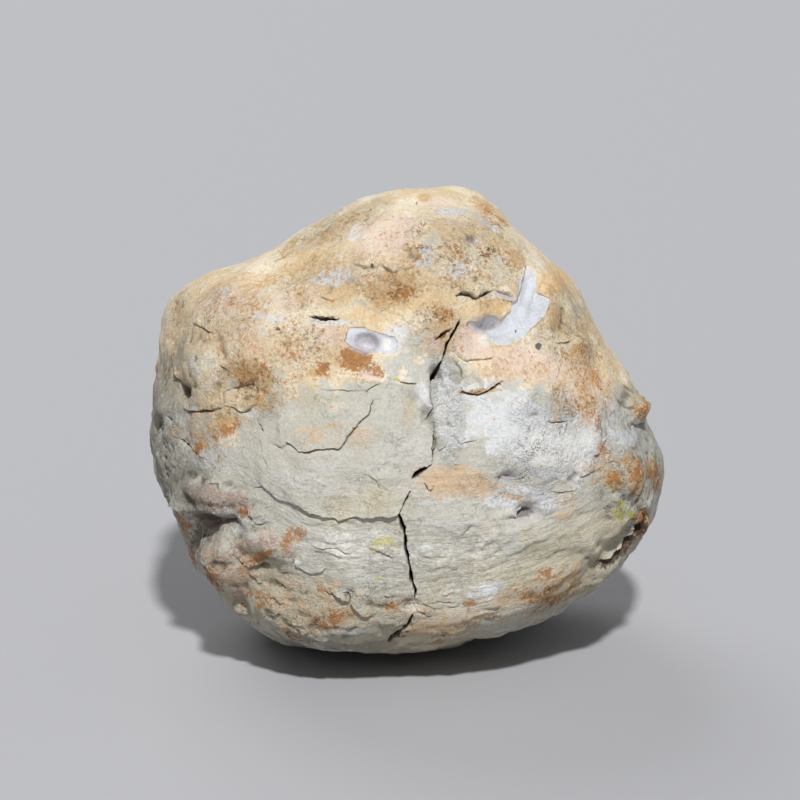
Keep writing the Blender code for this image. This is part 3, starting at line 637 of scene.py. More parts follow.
# What lies on the skin and the plates, from the lowest up: its zone and colour, the noise that breaks it up,
# how much, how soft its edges are, and its opacity
LAYERS = (
    ("straw", "cloud", 2.0, 0.35, 0.8),
    ("pink", "cloud", 2.0, 0.35, 0.8),
    ("gold", "mixed", 3.0, 0.35, 0.8),
    ("mauve", "mixed", 3.6, 0.22, 0.85),
    ("white", "chips", 2.6, 0.22, 0.9),
    ("grey_and_shade", "chips", 2.6, 0.3, 0.75),
    ("dust", "mixed", 4.0, 0.22, 0.8),
    ("ochre", "mixed", 4.0, 0.25, 0.8),
    ("rust", "mixed", 4.5, 0.18, 0.85),
    ("brown_and_shade", "grains", 2.0, 0.2, 0.9),
    ("quartz", "mixed", 1.4, 0.12, 1.0),
    ("chalk", "mixed", 3.0, 0.3, 0.7),
    ("pit_and_shade", "cloud", 0.8, 0.35, 0.9),
    ("lichen", "mixed", 3.0, 0.12, 0.75),
    ("speck", "grains", 1.0, 0.1, 0.9),
)

# How far noise is drawn out along the rind's layers
LAYER_STRETCH = 4

# The edges of the rind's flakes in the noise of chips
FLAKE_EDGES = (0.44, 0.50, 0.56)

# The lights: the way to each, its strength, and how many degrees wide it is
LIGHTS = {
    "key": ((0.08, -0.98, 1.1), 3.1, 4),
    "back_fill": ((-0.5, 1.0, 0.9), 0.9, 40),
}
SKY_STRENGTH = 0.3
FLOOR_RADIUS = 6
FLOOR_CORNERS = 96


def tilted(across, up, tilt):
    """Offsets in the view, turned so that the first runs along an axis tilted this many degrees."""
    turn = math.radians(tilt)
    along = across * math.cos(turn) + up * math.sin(turn)
    aside = up * math.cos(turn) - across * math.sin(turn)
    return along, aside


def smooth_step(value, low, high):
    share = np.clip((value - low) / (high - low), 0, 1)
    return share * share * (3 - 2 * share)


def rough(points, size, octaves=3):
    """Fractal noise at each point, about -1 to 1, whose coarsest waves have this size in metres."""
    return np.array([noise.fractal(Vector(point / size), 1.0, 2.1, octaves) for point in points])


def outline_radius(angles, rounding):
    """How far the outline is from the stone's middle at these angles, rounded over these steps."""
    across, down = (np.array(OUTLINE, float) - MIDDLE).T
    corner_angles = np.arctan2(-down, across) % math.tau
    order = np.argsort(corner_angles)
    corner_radii = np.hypot(across, down)[order]
    steps = np.arange(0, math.tau, math.radians(OUTLINE_STEP))
    radii = np.interp(steps, corner_angles[order], corner_radii, period=math.tau)
    weights = np.hanning(2 * rounding + 1)
    wrapped = np.concatenate((radii[-rounding:], radii, radii[:rounding]))
    radii = np.convolve(wrapped, weights / weights.sum(), "valid")
    return np.interp(angles % math.tau, steps, radii, period=math.tau) * PIXEL


def body_points(directions):
    """The plain body in each direction: its outline, bulged and smoothed to the front and the back."""
    x, y, z = directions.T
    angles = np.arctan2(z, x)
    rim = outline_radius(angles, RIM_ROUNDING)
    rim += (outline_radius(angles, FACE_ROUNDING) - rim) * smooth_step(np.abs(y), 0.02, 0.5)
    bulge = np.where(y < 0, FRONT_BULGE, BACK_BULGE)
    low_front = smooth_step(-z, 0.0, 0.5) * smooth_step(-y, 0.0, 0.3)
    power = BLOCKINESS + (LOW_FRONT_BLOCKINESS - BLOCKINESS) * low_front
    shares = (np.hypot(x, z) / rim) ** power + (np.abs(y) / bulge) ** power
    return directions * (shares ** (-1 / power))[:, None]


def seen(points):
    """Where the front view shows points of its frame, in pixels: one row of (across, down) for each."""
    eye_across = (VIEW_CENTRE[0] - MIDDLE[0]) * PIXEL
    eye_up = (MIDDLE[1] - VIEW_CENTRE[1]) * PIXEL
    shrink = EYE_DISTANCE / (EYE_DISTANCE + points[:, 1])
    across = eye_across + (points[:, 0] - eye_across) * shrink
    up = eye_up + (points[:, 2] - eye_up) * shrink
    return np.column_stack((MIDDLE[0] + across / PIXEL, MIDDLE[1] - up / PIXEL))


@cache
def point_at(across, down, far=False):
    """The point of the plain body that the front view shows at this place, or the one behind it."""
    point = np.array([[0, 1 if far else -1, 0]]) * FRONT_BULGE
    for _ in range(12):
        missed = np.array([[across, down]]) - seen(point)
        point[0, 0] += missed[0, 0] * PIXEL * 0.8
        point[0, 2] -= missed[0, 1] * PIXEL * 0.8
        point = body_points(point / np.linalg.norm(point))
    return point[0]


def lump_rise(plain, lumps):
    """The summed rise of lumps at points of the plain body."""
    total = np.zeros(len(plain))
    for lump in lumps:
        away = plain - point_at(lump.across, lump.down, lump.far)
        along, aside = tilted(away[:, 0], away[:, 2], lump.tilt)
        wide, high = lump.wide * PIXEL, lump.high * PIXEL
        deep = (wide + high) / 2
        share = (along / wide) ** 2 + (aside / high) ** 2 + (away[:, 1] / deep) ** 2
        total += lump.rise * MM * np.clip(1 - share, 0, None) ** 2
    return total


def lumpy_points(directions):
    """The body with its lumps and hollows, and some unevenness."""
    plain = body_points(directions)
    unevenness = UNEVENNESS + UNSEEN_UNEVENNESS * smooth_step(plain[:, 1], 0, 0.03)
    total = unevenness * MM * rough(plain, UNEVEN_WAVES) + lump_rise(plain, LUMPS)
    return plain + directions * total[:, None]


def wander(directions):
    """How far each place of the view is moved, in pixels, so that what lines draw has broken edges."""
    noise.seed_set(WANDER_SEED)
    moved = np.zeros((len(directions), 2))
    for wave, reach in WANDERING:
        vectors = [noise.noise_vector(Vector(direction / wave)) for direction in directions]
        moved += reach * np.array(vectors)[:, :2]
    return moved


class Surface:
    """The lumpy stone in a ball's directions: its points, and where the front view shows them."""

    def __init__(self, ball, known=None):
        """Takes over what has not changed from known, the same ball's surface before its last cut."""
        self.directions = directions_of(ball)
        changed = np.ones(len(self.directions), bool)
        self.points = np.zeros((len(changed), 3))
        self.places = np.zeros((len(changed), 2))
        self.depths = np.zeros(len(changed))
        if known:
            kept = len(known.points)
            self.points[:kept] = known.points
            self.places[:kept] = known.places
            self.depths[:kept] = known.depths
            moved = np.abs(self.directions[:kept] - known.directions).max(axis=1)
            changed[:kept] = moved > SAME_DIRECTION
        fresh = self.directions[changed]
        self.points[changed] = lumpy_points(fresh)
        self.places[changed] = seen(self.points[changed]) + wander(fresh)
        self.depths[changed] = body_points(fresh)[:, 1]

    def on_side(self, far):
        """1 on the far side or the near side, running down to 0 across the rim."""
        outward = self.points[:, 1] if far else -self.points[:, 1]
        return smooth_step(outward, -0.01, 0.01)

    def unseen(self):
        """0 where the front view shows the stone well, running up to 1 on its sides and its back."""
        return smooth_step(self.points[:, 1], -0.015, 0.02)

    def beside(self, feature, indices, along, reach):
        """1 where a feature's line was drawn, and down to 0 where the surface has turned away from it."""
        depths = [point_at(across, down, feature.far)[1] for across, down in feature.line]
        steps = np.hypot(*np.diff(np.array(feature.line, float), axis=0).T)
        reached = np.concatenate(([0], np.cumsum(steps))) / steps.sum()
        away = np.abs(self.depths[indices] - np.interp(along, reached, depths)) / PIXEL
        return 1 - smooth_step(away, reach, 2 * reach)

    def out_of(self, oval):
        """How far from an oval's middle each point is, squared: 0 there and 1 at its edge."""
        across, down = self.places.T
        along, aside = tilted(across - oval.across, oval.down - down, oval.tilt)
        depth = (self.depths - point_at(oval.across, oval.down, oval.far)[1]) / PIXEL
        deep = DEPTH_SLACK + oval.wide + oval.high
        return (along / oval.wide) ** 2 + (aside / oval.high) ** 2 + (depth / deep) ** 2

    def from_line(self, feature, reach):
        """The surface's points within reach pixels of a feature's line.

        For each: its index, how far it is on the line's left hand, how far along the line from 0 to 1, and
        the way to that hand.
        """
        corners = np.array(feature.line, float)
        low, high = corners.min(axis=0) - reach, corners.max(axis=0) + reach
        near_by = (self.places > low).all(axis=1) & (self.places < high).all(axis=1)
        near_by &= (self.points[:, 1] < 0.01) != feature.far
        indices = np.flatnonzero(near_by)
        places = self.places[indices]
        starts, headings = corners[:-1], np.diff(corners, axis=0)
        lengths = np.hypot(*headings.T)
        away = places[:, None, :] - starts
        shares = np.clip((away * headings).sum(axis=2) / lengths**2, 0, 1)
        away = away - shares[:, :, None] * headings
        gaps = np.hypot(away[:, :, 0], away[:, :, 1])
        left_hands = np.column_stack((headings[:, 1], -headings[:, 0])) / lengths[:, None]
        sideways = (away * left_hands).sum(axis=2)
        rows = np.arange(len(indices))
        nearest = np.argmin(gaps - CORNER_TIE * np.abs(sideways), axis=1) if len(indices) else rows
        side = np.sign(sideways[rows, nearest])
        reached = np.concatenate(([0], np.cumsum(lengths)))
        along = (reached[nearest] + shares[rows, nearest] * lengths[nearest]) / reached[-1]
        return indices, side * gaps[rows, nearest], along, left_hands[nearest]


def line_length(line):
    return np.hypot(*np.diff(np.array(line, float), axis=0).T).sum()


def crack_half_width(crack, along):
    """Half of a crack's width in pixels along its line. It varies, and narrows to both ends."""
    length = line_length(crack.line)
    ends = smooth_step(np.minimum(along, 1 - along) * length, -2, 7)
    varied = 1 + 0.25 * np.sin(along * length / 5.0) + 0.15 * np.sin(along * length / 2.1 + 1)
    return crack.width / 2 * ends * varied


def directions_of(ball):
    return np.array([vertex.co for vertex in ball.verts])


def move_corners(ball, directions):
    for vertex, direction in zip(ball.verts, directions):
        vertex.co = direction


def crowd(directions):
    """Draws directions together towards the front, where the mesh is to be finest."""
    flat = directions[:, [0, 2]] / np.maximum(1 - directions[:, 1], 1e-6)[:, None] * CROWDING
    reach = (flat**2).sum(axis=1)
    return np.column_stack((2 * flat[:, 0], reach - 1, 2 * flat[:, 1])) / (1 + reach)[:, None]


def tidy_ball(ball):
    """Makes every face a triangle and puts every corner back on the ball."""
    bmesh.ops.triangulate(ball, faces=[face for face in ball.faces if len(face.verts) > 3])
    for vertex in ball.verts:
        vertex.co.normalize()
    for items in (ball.verts, ball.edges, ball.faces):
        items.index_update()
        items.ensure_lookup_table()


def edge_ends(ball):
    return np.array([[corner.index for corner in edge.verts] for edge in ball.edges])


def split_edges(ball, indices, shares):
    """Splits edges of these indices, each at its share of the way from its first corner."""
    edges = {ball.edges[index]: share for index, share in zip(indices.tolist(), shares.tolist())}
    bmesh.ops.subdivide_edges(ball, edges=list(edges), edge_percents=edges, cuts=1, use_grid_fill=True)
    tidy_ball(ball)


def cut_finer(ball, surface):
    """Halves the ball's edges beside ledges, cracks and pocket walls."""
    fine = np.zeros(len(surface.points), bool)
    for feature in (*LEDGES, *THIN_LEDGES, *CRACKS, *POCKETS):
        indices, gaps, _, _ = surface.from_line(feature, FINE_BAND)
        fine[indices[np.abs(gaps) < FINE_BAND]] = True
    indices = np.flatnonzero(fine[edge_ends(ball)].all(axis=1))
    split_edges(ball, indices, np.full(len(indices), 0.5))


def row_offset(feature, row, along):
    """How far on the left hand of its line a feature's row of edges runs, in pixels.

    Row 1 is the lip of a ledge or a pocket, or the left side of a crack. Row -1 is the foot of a ledge or a
    pocket's wall, or the right side of a crack. Row 0 is a crack's floor.
    """
    if isinstance(feature, Crack):
        return row * crack_half_width(feature, along)
    if row == 1:
        return 0
    return -LEDGE_FACE if isinstance(feature, Ledge) else -feature.wall


def cut_row(ball, surface, drawn, row):
    """Gives the ball clean edges along one row of each of these features, and returns its new surface."""
    gaps = np.full(len(surface.points), np.inf)
    owners = np.full(len(surface.points), -1)
    left_hands = np.zeros((len(surface.points), 2))
    for owner, feature in enumerate(drawn):
        indices, distances, along, hands = surface.from_line(feature, 2 * FINE_BAND)
        distances = distances - row_offset(feature, row, along)
        closer = (np.abs(distances) < np.abs(gaps[indices])) & (along > 0) & (along < 1)
        indices, distances, hands = indices[closer], distances[closer], hands[closer]
        gaps[indices], owners[indices], left_hands[indices] = distances, owner, hands
    for index in np.flatnonzero(np.abs(gaps) < SNAP):
        shift = -gaps[index] * PIXEL * left_hands[index]
        ball.verts[index].co = Vector(surface.points[index] + (shift[0], 0, -shift[1])).normalized()
        gaps[index] = 0
    ends = edge_ends(ball)
    first, second = gaps[ends].T
    same = (owners[ends[:, 0]] == owners[ends[:, 1]]) & (owners[ends[:, 0]] >= 0)
    with np.errstate(invalid="ignore"):
        crossing = np.flatnonzero(same & (first * second < 0))
    split_edges(ball, crossing, first[crossing] / (first[crossing] - second[crossing]))
    return Surface(ball, surface)


def ledge_relief(surface, total, shift):
    """Adds every ledge to the surface's rise, and the overhang of its lip to the surface's shift."""
    for ledges, steadiness in ((LEDGES, 1.0), (THIN_LEDGES, 0.55)):
        for ledge in ledges:
            indices, distance, along, left_hand = surface.from_line(ledge, ledge.fade)
            ends = smooth_step(along, 0, LEDGE_ENDS) * smooth_step(1 - along, 0, LEDGE_ENDS)
            uneven = steadiness + 1.1 * rough(surface.points[indices], LEDGE_WAVES, 2)
            near = surface.on_side(ledge.far)[indices] * ends * np.clip(uneven, 0.05, 1.3)
            near *= surface.beside(ledge, indices, along, DEPTH_SLACK + ledge.fade)
            step = smooth_step(distance, -LEDGE_FACE, 0) * np.clip(1 - distance / ledge.fade, 0, 1)
            undercut = smooth_step(distance, -UNDERCUT_BAND, -LEDGE_FACE)
            undercut = undercut * smooth_step(-distance, 0, LEDGE_FACE)
            lifted = max(ledge.rise, 0)
            total[indices] += near * (ledge.rise * step - UNDERCUT * lifted * undercut) * MM
            size = min(lifted / FULL_LEDGE, 1)
            lip = smooth_step(distance, -LEDGE_FACE, 0) * np.clip(1 - distance / (3 * OVERHANG), 0, 1)
            reach = -OVERHANG * size * PIXEL * near * lip
            shift[indices, 0] += reach * left_hand[:, 0]
            shift[indices, 2] -= reach * left_hand[:, 1]


def crack_relief(surface, total):
    """Sinks the cracks, and returns the painted shade on their floors: how near to a crack's floor each
    point is, from 0 at its sides to 1, and less in shallow cracks.
    """
    crack_shade = np.zeros(len(total))
    for crack in CRACKS:
        indices, distance, along, _ = surface.from_line(crack, 2 * crack.width)
        half = crack_half_width(crack, along)
        share = np.clip(1 - np.abs(distance) / np.maximum(half, 0.01), 0, 1)
        share = share * surface.on_side(crack.far)[indices]
        narrowing = np.minimum(half / (0.4 * crack.width), 1)
        total[indices] -= crack.depth * MM * narrowing * share**0.8
        painted_shade = 1 if crack.depth > DARK_CRACK else SHALLOW_CRACK_SHADE
        crack_shade[indices] = np.maximum(crack_shade[indices], share * narrowing * painted_shade)
    return crack_shade


def pocket_relief(surface, total):
    """Sinks the pockets, whose walls are steepest at the upper left."""
    for pocket in POCKETS:
        indices, distance, _, outward = surface.from_line(pocket, 30)
        steep = smooth_step(-outward.sum(axis=1), -0.2, 1.0)
        wall = pocket.slope + (pocket.wall - pocket.slope) * steep
        total[indices] -= pocket.depth * MM * smooth_step(-distance / wall, 0, 1)


def grain(kind, points, octaves):
    """Rounded unevenness of this height and size, in millimetres."""
    height, size = kind
    return height * rough(points, size, octaves)


def crumbs(kind, points):
    """Rounded crumbs of this height and size with sharp creases between them, in millimetres."""
    height, size = kind
    broad = np.abs(rough(points, size, 1))
    return height * (broad + 0.5 * np.abs(rough(points + 3, size / 2.1, 1)))


def scales(kind, points, seed):
    """Overlapping scales, each with a sharp lower lip, where the rind's layers come out, in millimetres."""
    lip, spacing = kind
    moved = points + seed
    height = points @ np.array(BEDDING)
    height = height + spacing * (1.6 * rough(moved, 0.04) + 0.35 * rough(moved, 0.009, 2))
    share = (height / spacing) % 1
    long_waves = moved - np.outer(moved @ np.array(BEDDING), BEDDING) * 0.6
    strength = smooth_step(rough(long_waves, 0.012), -0.25, 0.45)
    return lip * strength * (1 - share) * smooth_step(share, 0, 0.16)


def small_lump_rise(surface):
    total = np.zeros(len(surface.points))
    for lump in SMALL_LUMPS:
        total += lump.rise * MM * np.clip(1 - surface.out_of(lump), 0, None) ** 2
    return total


def patch_share(surface, patches):
    """How far inside the patches each point is: 1 in a middle, 0.5 at an edge and 0 well outside."""
    found = np.zeros(len(surface.points))
    for patch in patches:
        found = np.maximum(found, patch.share * np.clip(1 - surface.out_of(patch) / 2, 0, 1))
    return found


def scattered(surface, seed, size, rarity):
    """Patches of about this size in metres, at random, where the front view shows nothing."""
    return 0.7 * surface.unseen() * smooth_step(rough(surface.points + seed, size), rarity, rarity + 0.5)


def skin_share(surface):
    """1 where the rind keeps its ochre skin and 0 where the plates lie bare, with a soft border between."""
    share = np.zeros(len(surface.points))
    broken = rough(surface.points, 0.02, 2) * SKIN_BREAKS
    broken += rough(surface.points + 2, 0.05, 2) * UNSEEN_BREAKS * surface.unseen()
    for far in (False, True):
        indices, distance, _, _ = surface.from_line(Ledge(SKIN_FOOT, 0, 0, far), WHOLE_VIEW)
        share[indices] = np.clip(0.5 + (distance + broken[indices]) / SKIN_BORDER, 0, 1)
    return share


def pocket_share(surface):
    """1 inside the quartz pockets, 0.5 at their edges and 0 well outside."""
    found = np.zeros(len(surface.points))
    for pocket in (BENT_POCKET, OVAL_POCKET):
        indices, distance, _, _ = surface.from_line(pocket, QUARTZ_BORDER)
        found[indices] = np.maximum(found[indices], np.clip(0.5 - distance / QUARTZ_BORDER, 0, 1))
    return found


def smoothed(mesh, values, rounds):
    """Values at the mesh's corners, averaged with their neighbours this many times."""
    ends = np.zeros(len(mesh.edges) * 2, int)
    mesh.edges.foreach_get("vertices", ends)
    first, second = ends.reshape(-1, 2).T
    count = len(mesh.vertices)
    neighbours = np.bincount(first, minlength=count) + np.bincount(second, minlength=count)
    for _ in range(rounds):
        sums = np.bincount(first, values[second], count) + np.bincount(second, values[first], count)
        values = (values + sums / neighbours) / 2
    return values


def fine_ball():
    """A ball of triangles with clean rows of edges along every ledge, crack and pocket, and its surface."""
    ball = bmesh.new()
    bmesh.ops.create_icosphere(ball, subdivisions=1, radius=1)
    bmesh.ops.subdivide_edges(ball, edges=ball.edges[:], cuts=BALL_CUTS, use_grid_fill=True)
    tidy_ball(ball)
    move_corners(ball, crowd(directions_of(ball)))
    surface = Surface(ball)
    cut_finer(ball, surface)
    surface = Surface(ball, surface)
    for drawn in (LEDGES, THIN_LEDGES, POCKETS, CRACKS):
        for row in (1, -1, 0) if drawn is CRACKS else (1, -1):
            surface = cut_row(ball, surface, drawn, row)
    return ball, surface


def stone_relief(surface, zones):
    """How far each point moves out and how far it moves sideways. Adds the painted shade on the cracks'
    floors to the zones.
    """
    total = small_lump_rise(surface)
    shift = np.zeros((len(total), 3))
    ledge_relief(surface, total, shift)
    zones["crack"] = crack_relief(surface, total)
    pocket_relief(surface, total)
    return total + low_relief(surface, zones) * MM, shift


def low_relief(surface, zones):
    """The rind's grain, crumbs and scales in millimetres. The quartz has little of them."""
    points = surface.points
    bare = 1 - 0.85 * zones["quartz"]
    coarse = np.clip(0.45 + 0.6 * zones["rough"] + 0.4 * zones["skin"], 0, 1.3) * bare
    crumbly = np.clip(zones["rough"] - 0.2, 0, 1) * bare
    scaled = 0.4 + 0.9 * smooth_step(-points[:, 2], 0.01, 0.05) + 0.5 * zones["rough"]
    scaled = scaled * (1 - 0.6 * zones["skin"]) * bare
    total = coarse * (grain(GRAIN, points, 4) + grain(FINE_GRAIN, points + 1, 2))
    total += crumbly * (crumbs(CRUMBS, points) + crumbs(FINE_CRUMBS, points + 5) - CRUMBS_SINK)
    total += scaled * (scales(SCALES, points, 2) + scales(FINE_SCALES, points, 5))
    unseen = grain(UNSEEN_GRAIN, points + 7, 4) + crumbs(UNSEEN_CRUMBS, points + 8) - UNSEEN_SINK
    return total + surface.unseen() * unseen


def stone_object():
    ball, surface = fine_ball()
    zones = {name: patch_share(surface, patches) for name, patches in ZONES.items()}
    for seed, (name, (size, rarity)) in enumerate(SCATTER.items()):
        zones[name] = np.maximum(zones[name], scattered(surface, seed, size, rarity))
    zones["layered"] = smooth_step(-surface.points[:, 2], -0.005, 0.03) * (1 - surface.unseen())
    zones["skin"] = skin_share(surface)
    zones["quartz"] = pocket_share(surface)
    total, shift = stone_relief(surface, zones)
    points = surface.points + surface.directions * total[:, None] + shift
    points = points @ np.array(UPRIGHT).T + np.array(STONE_MIDDLE)
    points[:, 2] = np.maximum(points[:, 2], 0)
    move_corners(ball, points)
    mesh = bpy.data.meshes.new("stone")
    ball.to_mesh(mesh)
    ball.free()
    # How far each point lies below the mean round it, for the painted shade and dirt in hollows
    sunk = (smoothed(mesh, total, HOLLOW_ROUNDS) - total) / (HOLLOW_DEPTH * MM)
    zones["hollow"] = 0.5 + sunk * (1 - 0.8 * zones["quartz"])
    for name, values in zones.items():
        layer = mesh.attributes.new(name, "FLOAT", "POINT")
        layer.data.foreach_set("value", np.clip(values, 0, 1).astype(np.float32))
    mesh.shade_smooth()
    mesh.set_sharp_from_angle(angle=math.radians(SHARP_ANGLE))
    stone = bpy.data.objects.new("stone", mesh)
    bpy.context.scene.collection.objects.link(stone)
    return stone


def linear(name):
    """A colour of COLOURS as the renderer reads it."""
    shares = np.array(COLOURS[name]) / 255
    values = np.where(shares < 0.04045, shares / 12.92, ((shares + 0.055) / 1.055) ** 2.4)
    return (*values.tolist(), 1.0)


class Shader:
    """Adds nodes to one material and links them. An input is a number, a colour or another node's output."""

    def __init__(self, name):
        self.material = bpy.data.materials.new(name)
        self.material.use_nodes = True
        self.nodes = self.material.node_tree.nodes
        self.principled = self.nodes["Principled BSDF"]
        self.place = self.node("ShaderNodeTexCoord", {}).outputs["Object"]

    def set(self, node, socket, value):
        if isinstance(value, bpy.types.NodeSocket):
            self.material.node_tree.links.new(value, node.inputs[socket])
        else:
            node.inputs[socket].default_value = value

    def node(self, kind, inputs, **settings):
        made = self.nodes.new(kind)
        for name, value in settings.items():
            setattr(made, name, value)
        for socket, value in inputs.items():
            self.set(made, socket, value)
        return made

    def attribute(self, name):
        return self.node("ShaderNodeAttribute", {}, attribute_name=name).outputs["Fac"]

    def calculate(self, operation, first, second=0.0, third=0.0):
        return self.node("ShaderNodeMath", {0: first, 1: second, 2: third}, operation=operation).outputs[0]

    def vector(self, operation, first, second):
        made = self.node("ShaderNodeVectorMath", {0: first, 1: second}, operation=operation)
        return made.outputs["Value" if operation == "DOT_PRODUCT" else "Vector"]

    def noise(self, name, place=None):
        """One of NOISES, from 0 to 1."""
        size, detail, roughness = NOISES[name]
        inputs = {"Vector": place or self.place, "Scale": 1 / size, "Detail": detail, "Roughness": roughness}
        return self.node("ShaderNodeTexNoise", inputs).outputs["Fac"]

    def step(self, value, low, high, start=0.0, end=1.0):
        """A smooth change from start to end as value goes from low to high."""
        inputs = {"Value": value, "From Min": low, "From Max": high, "To Min": start, "To Max": end}
        return self.node("ShaderNodeMapRange", inputs, interpolation_type="SMOOTHSTEP").outputs["Result"]

    def blend(self, share, first, second):
        made = self.node("ShaderNodeMix", {}, data_type="RGBA")
        self.set(made, 0, share)
        self.set(made, 6, first)
        self.set(made, 7, second)
        return made.outputs[2]

    def cover(self, zone, grain, break_up, softness, opacity=1.0):
        """How much of a zone's paint lies at each point. Towards the zone's edge the grain breaks it up."""
        uneven = self.calculate("SUBTRACT", grain, 0.5)
        spread = self.calculate("MULTIPLY_ADD", uneven, break_up, self.attribute(zone))
        return self.step(spread, 0.6 - softness, 0.6 + softness, 0.0, opacity)


def bedding_place(shader):
    """Coordinates in which noise comes out drawn along the rind's layers."""
    across_layers = UPRIGHT @ BEDDING
    height = shader.vector("DOT_PRODUCT", shader.place, tuple(across_layers))
    wave = shader.calculate("MULTIPLY_ADD", shader.noise("bends"), 0.008, height)
    along = shader.node("ShaderNodeCombineXYZ", {"X": wave, "Y": wave, "Z": wave}).outputs[0]
    lift = shader.vector("MULTIPLY", along, tuple(across_layers * LAYER_STRETCH))
    return shader.vector("ADD", shader.place, lift)


def rind_grains(shader):
    """The noises that the rind's colours and its bump share, by name."""
    grains = {name: shader.noise(name) for name in ("cloud", "chips", "grains")}
    fine = shader.calculate("MULTIPLY", grains["grains"], 0.6)
    grains["mixed"] = shader.calculate("MULTIPLY_ADD", grains["chips"], 0.4, fine)
    return grains


def rind_colour(shader, flow, grains):
    """The rind's colour, from the bare cream plates up to the stains and specks on top."""
    cloud, chips = grains["cloud"], grains["chips"]
    drawn = shader.calculate("SUBTRACT", shader.noise("streaks", flow), cloud)
    streaks = shader.calculate("MULTIPLY_ADD", drawn, shader.attribute("layered"), cloud)
    colour = shader.blend(shader.step(streaks, 0.36, 0.60), linear("pale_cream"), linear("cream"))
    skin = shader.blend(shader.step(cloud, 0.40, 0.60), linear("skin"), linear("tan"))
    skin = shader.blend(shader.step(chips, 0.54, 0.60, 0, 0.6), skin, linear("chalk"))
    skin = shader.blend(shader.step(grains["mixed"], 0.45, 0.37, 0, 0.6), skin, linear("ochre"))
    colour = shader.blend(shader.cover("skin", chips, 3.2, 0.2), colour, skin)
    for zone, noise_name, break_up, softness, opacity in LAYERS:
        share = shader.cover(zone, grains[noise_name], break_up, softness, opacity)
        colour = shader.blend(share, colour, linear(zone))
    # Cracks' floors painted dark, as shade with a little dirt
    return shader.blend(shader.step(shader.attribute("crack"), 0.03, 0.25, 0, 0.85), colour, linear("crack"))


def flake_edges(shader, chips):
    """Thin broken lines where the rind flakes, from 0 to 1."""
    line = shader.step(shader.calculate("ABSOLUTE", shader.calculate("SUBTRACT", chips, 0.5)), 0.012, 0.0)
    broken = shader.step(shader.noise("breaks"), 0.50, 0.60)
    lively = shader.step(shader.attribute("rough"), 0.1, 0.7, 0.25, 1.0)
    return shader.calculate("MULTIPLY", shader.calculate("MULTIPLY", line, broken), lively)


def shaded_and_weathered(shader, colour, edges):
    """The colour darkened in its hollows, as painted shade with some dirt, and darker along flakes, with
    fine speckle all over.
    """
    speckle = shader.noise("speckle")
    hollow = shader.attribute("hollow")
    # Painted shade with some dirt in hollows, and darker lines along flakes
    dirt_and_shade = shader.step(shader.calculate("MULTIPLY_ADD", speckle, 0.3, hollow), 0.78, 1.15, 0, 0.7)
    dirt_and_shade = shader.calculate("MAXIMUM", dirt_and_shade, shader.calculate("MULTIPLY", edges, 0.45))
    colour = shader.blend(dirt_and_shade, colour, linear("dirt_and_shade"))
    shade = shader.step(speckle, 0.28, 0.72, 0.86, 1.1)
    return shader.node("ShaderNodeHueSaturation", {"Value": shade, "Color": colour}).outputs[0]


def rind_bump(shader, flow, grains, edges):
    """The rind's fine relief in millimetres: grain, thin flakes with sharp edges and the edges of layers."""
    uneven = shader.step(shader.attribute("rough"), 0, 0.8, 0.5, 1.4)
    height = shader.calculate("MULTIPLY", grains["grains"], 1.1)
    height = shader.calculate("MULTIPLY_ADD", shader.noise("dots"), 0.3, height)
    height = shader.calculate("MULTIPLY", height, uneven)
    drawn = shader.step(shader.attribute("layered"), 0.0, 1.0, 0.12, 0.9)
    height = shader.calculate("MULTIPLY_ADD", shader.noise("layers", flow), drawn, height)
    thickness = shader.calculate("MULTIPLY_ADD", uneven, 0.26, -0.07)
    for edge in FLAKE_EDGES:
        flake = shader.step(grains["chips"], edge, edge + 0.015)
        height = shader.calculate("MULTIPLY_ADD", flake, thickness, height)
    height = shader.calculate("MULTIPLY_ADD", edges, -0.35, height)
    height = shader.calculate("MULTIPLY", height, shader.step(shader.attribute("quartz"), 0.4, 0.6, 1, 0.25))
    return shader.node("ShaderNodeBump", {"Height": height, "Distance": MM, "Strength": 1.0}).outputs[0]


def rind_material():
    shader = Shader("rind")
    flow = bedding_place(shader)
    grains = rind_grains(shader)
    edges = flake_edges(shader, grains["chips"])
    colour = shaded_and_weathered(shader, rind_colour(shader, flow, grains), edges)
    roughness = shader.step(shader.attribute("quartz"), 0.4, 0.6, 0.92, 0.55)
    shader.set(shader.principled, "Base Color", colour)
    shader.set(shader.principled, "Roughness", roughness)
    shader.set(shader.principled, "Specular IOR Level", 0.3)
    shader.set(shader.principled, "Normal", rind_bump(shader, flow, grains, edges))
    return shader.material


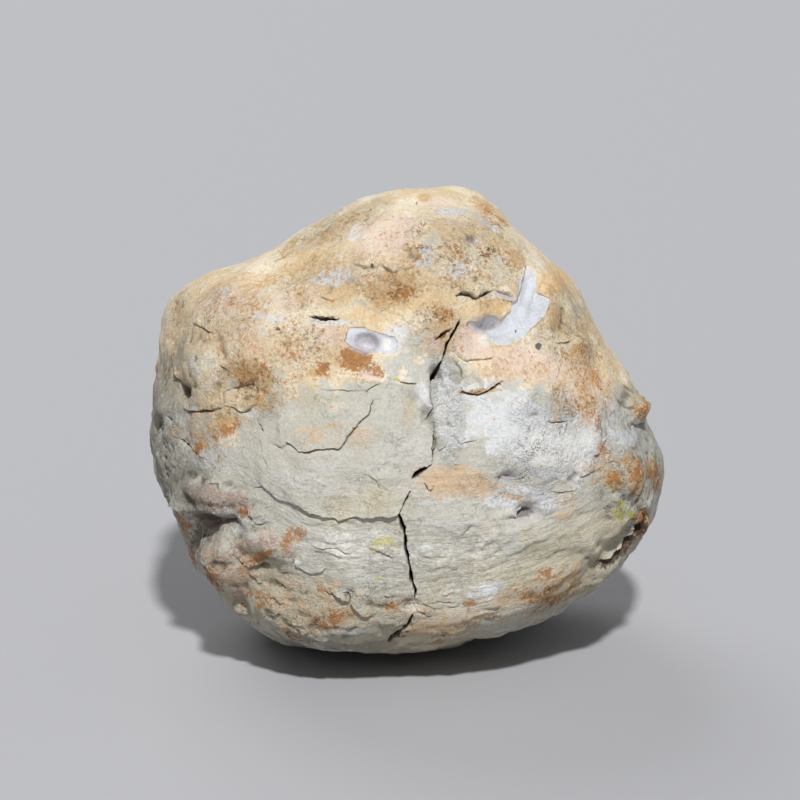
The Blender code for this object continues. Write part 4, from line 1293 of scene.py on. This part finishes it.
def floor_object():
    """A wide plain floor that fills the view."""
    disc = bmesh.new()
    bmesh.ops.create_circle(disc, cap_ends=True, segments=FLOOR_CORNERS, radius=FLOOR_RADIUS)
    mesh = bpy.data.meshes.new("floor")
    disc.to_mesh(mesh)
    disc.free()
    floor = bpy.data.objects.new("floor", mesh)
    bpy.context.scene.collection.objects.link(floor)
    shader = Shader("floor")
    shader.set(shader.principled, "Base Color", linear("floor"))
    shader.set(shader.principled, "Roughness", 0.8)
    mesh.materials.append(shader.material)
    return floor


def add_sun(name, direction, strength, spread):
    light = bpy.data.lights.new(name, "SUN")
    light.energy = strength
    light.angle = math.radians(spread)
    sun = bpy.data.objects.new(name, light)
    sun.rotation_euler = Vector(direction).to_track_quat("Z", "Y").to_euler()
    bpy.context.scene.collection.objects.link(sun)


def add_lights():
    """A soft key light high in front, a weak one behind, and light from all around."""
    for name, (direction, strength, spread) in LIGHTS.items():
        add_sun(name, direction, strength, spread)
    world = bpy.data.worlds.new("studio")
    world.use_nodes = True
    background = world.node_tree.nodes["Background"]
    background.inputs["Color"].default_value = linear("sky")
    background.inputs["Strength"].default_value = SKY_STRENGTH
    bpy.context.scene.world = world


def add_camera():
    """The front view's camera, looking down by LOOK_DOWN."""
    camera = bpy.data.objects.new("camera", bpy.data.cameras.new("camera"))
    across, down = (VIEW_CENTRE[0] - MIDDLE[0]) * PIXEL, (VIEW_CENTRE[1] - MIDDLE[1]) * PIXEL
    camera.location = UPRIGHT @ Vector((across, -EYE_DISTANCE, -down)) + STONE_MIDDLE
    camera.rotation_euler = (math.pi / 2 - LOOK_DOWN, 0, 0)
    camera.data.sensor_width = SENSOR_WIDTH
    camera.data.lens = SENSOR_WIDTH / (VIEW_PIXELS * PIXEL) * EYE_DISTANCE
    camera.data.clip_end = 20
    bpy.context.scene.collection.objects.link(camera)
    bpy.context.scene.camera = camera


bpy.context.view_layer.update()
stone = stone_object()
stone.data.materials.append(rind_material())
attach(stone, "root")
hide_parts("geode")
floor_object()
add_lights()
add_camera()
bpy.context.scene.view_settings.view_transform = "Standard"
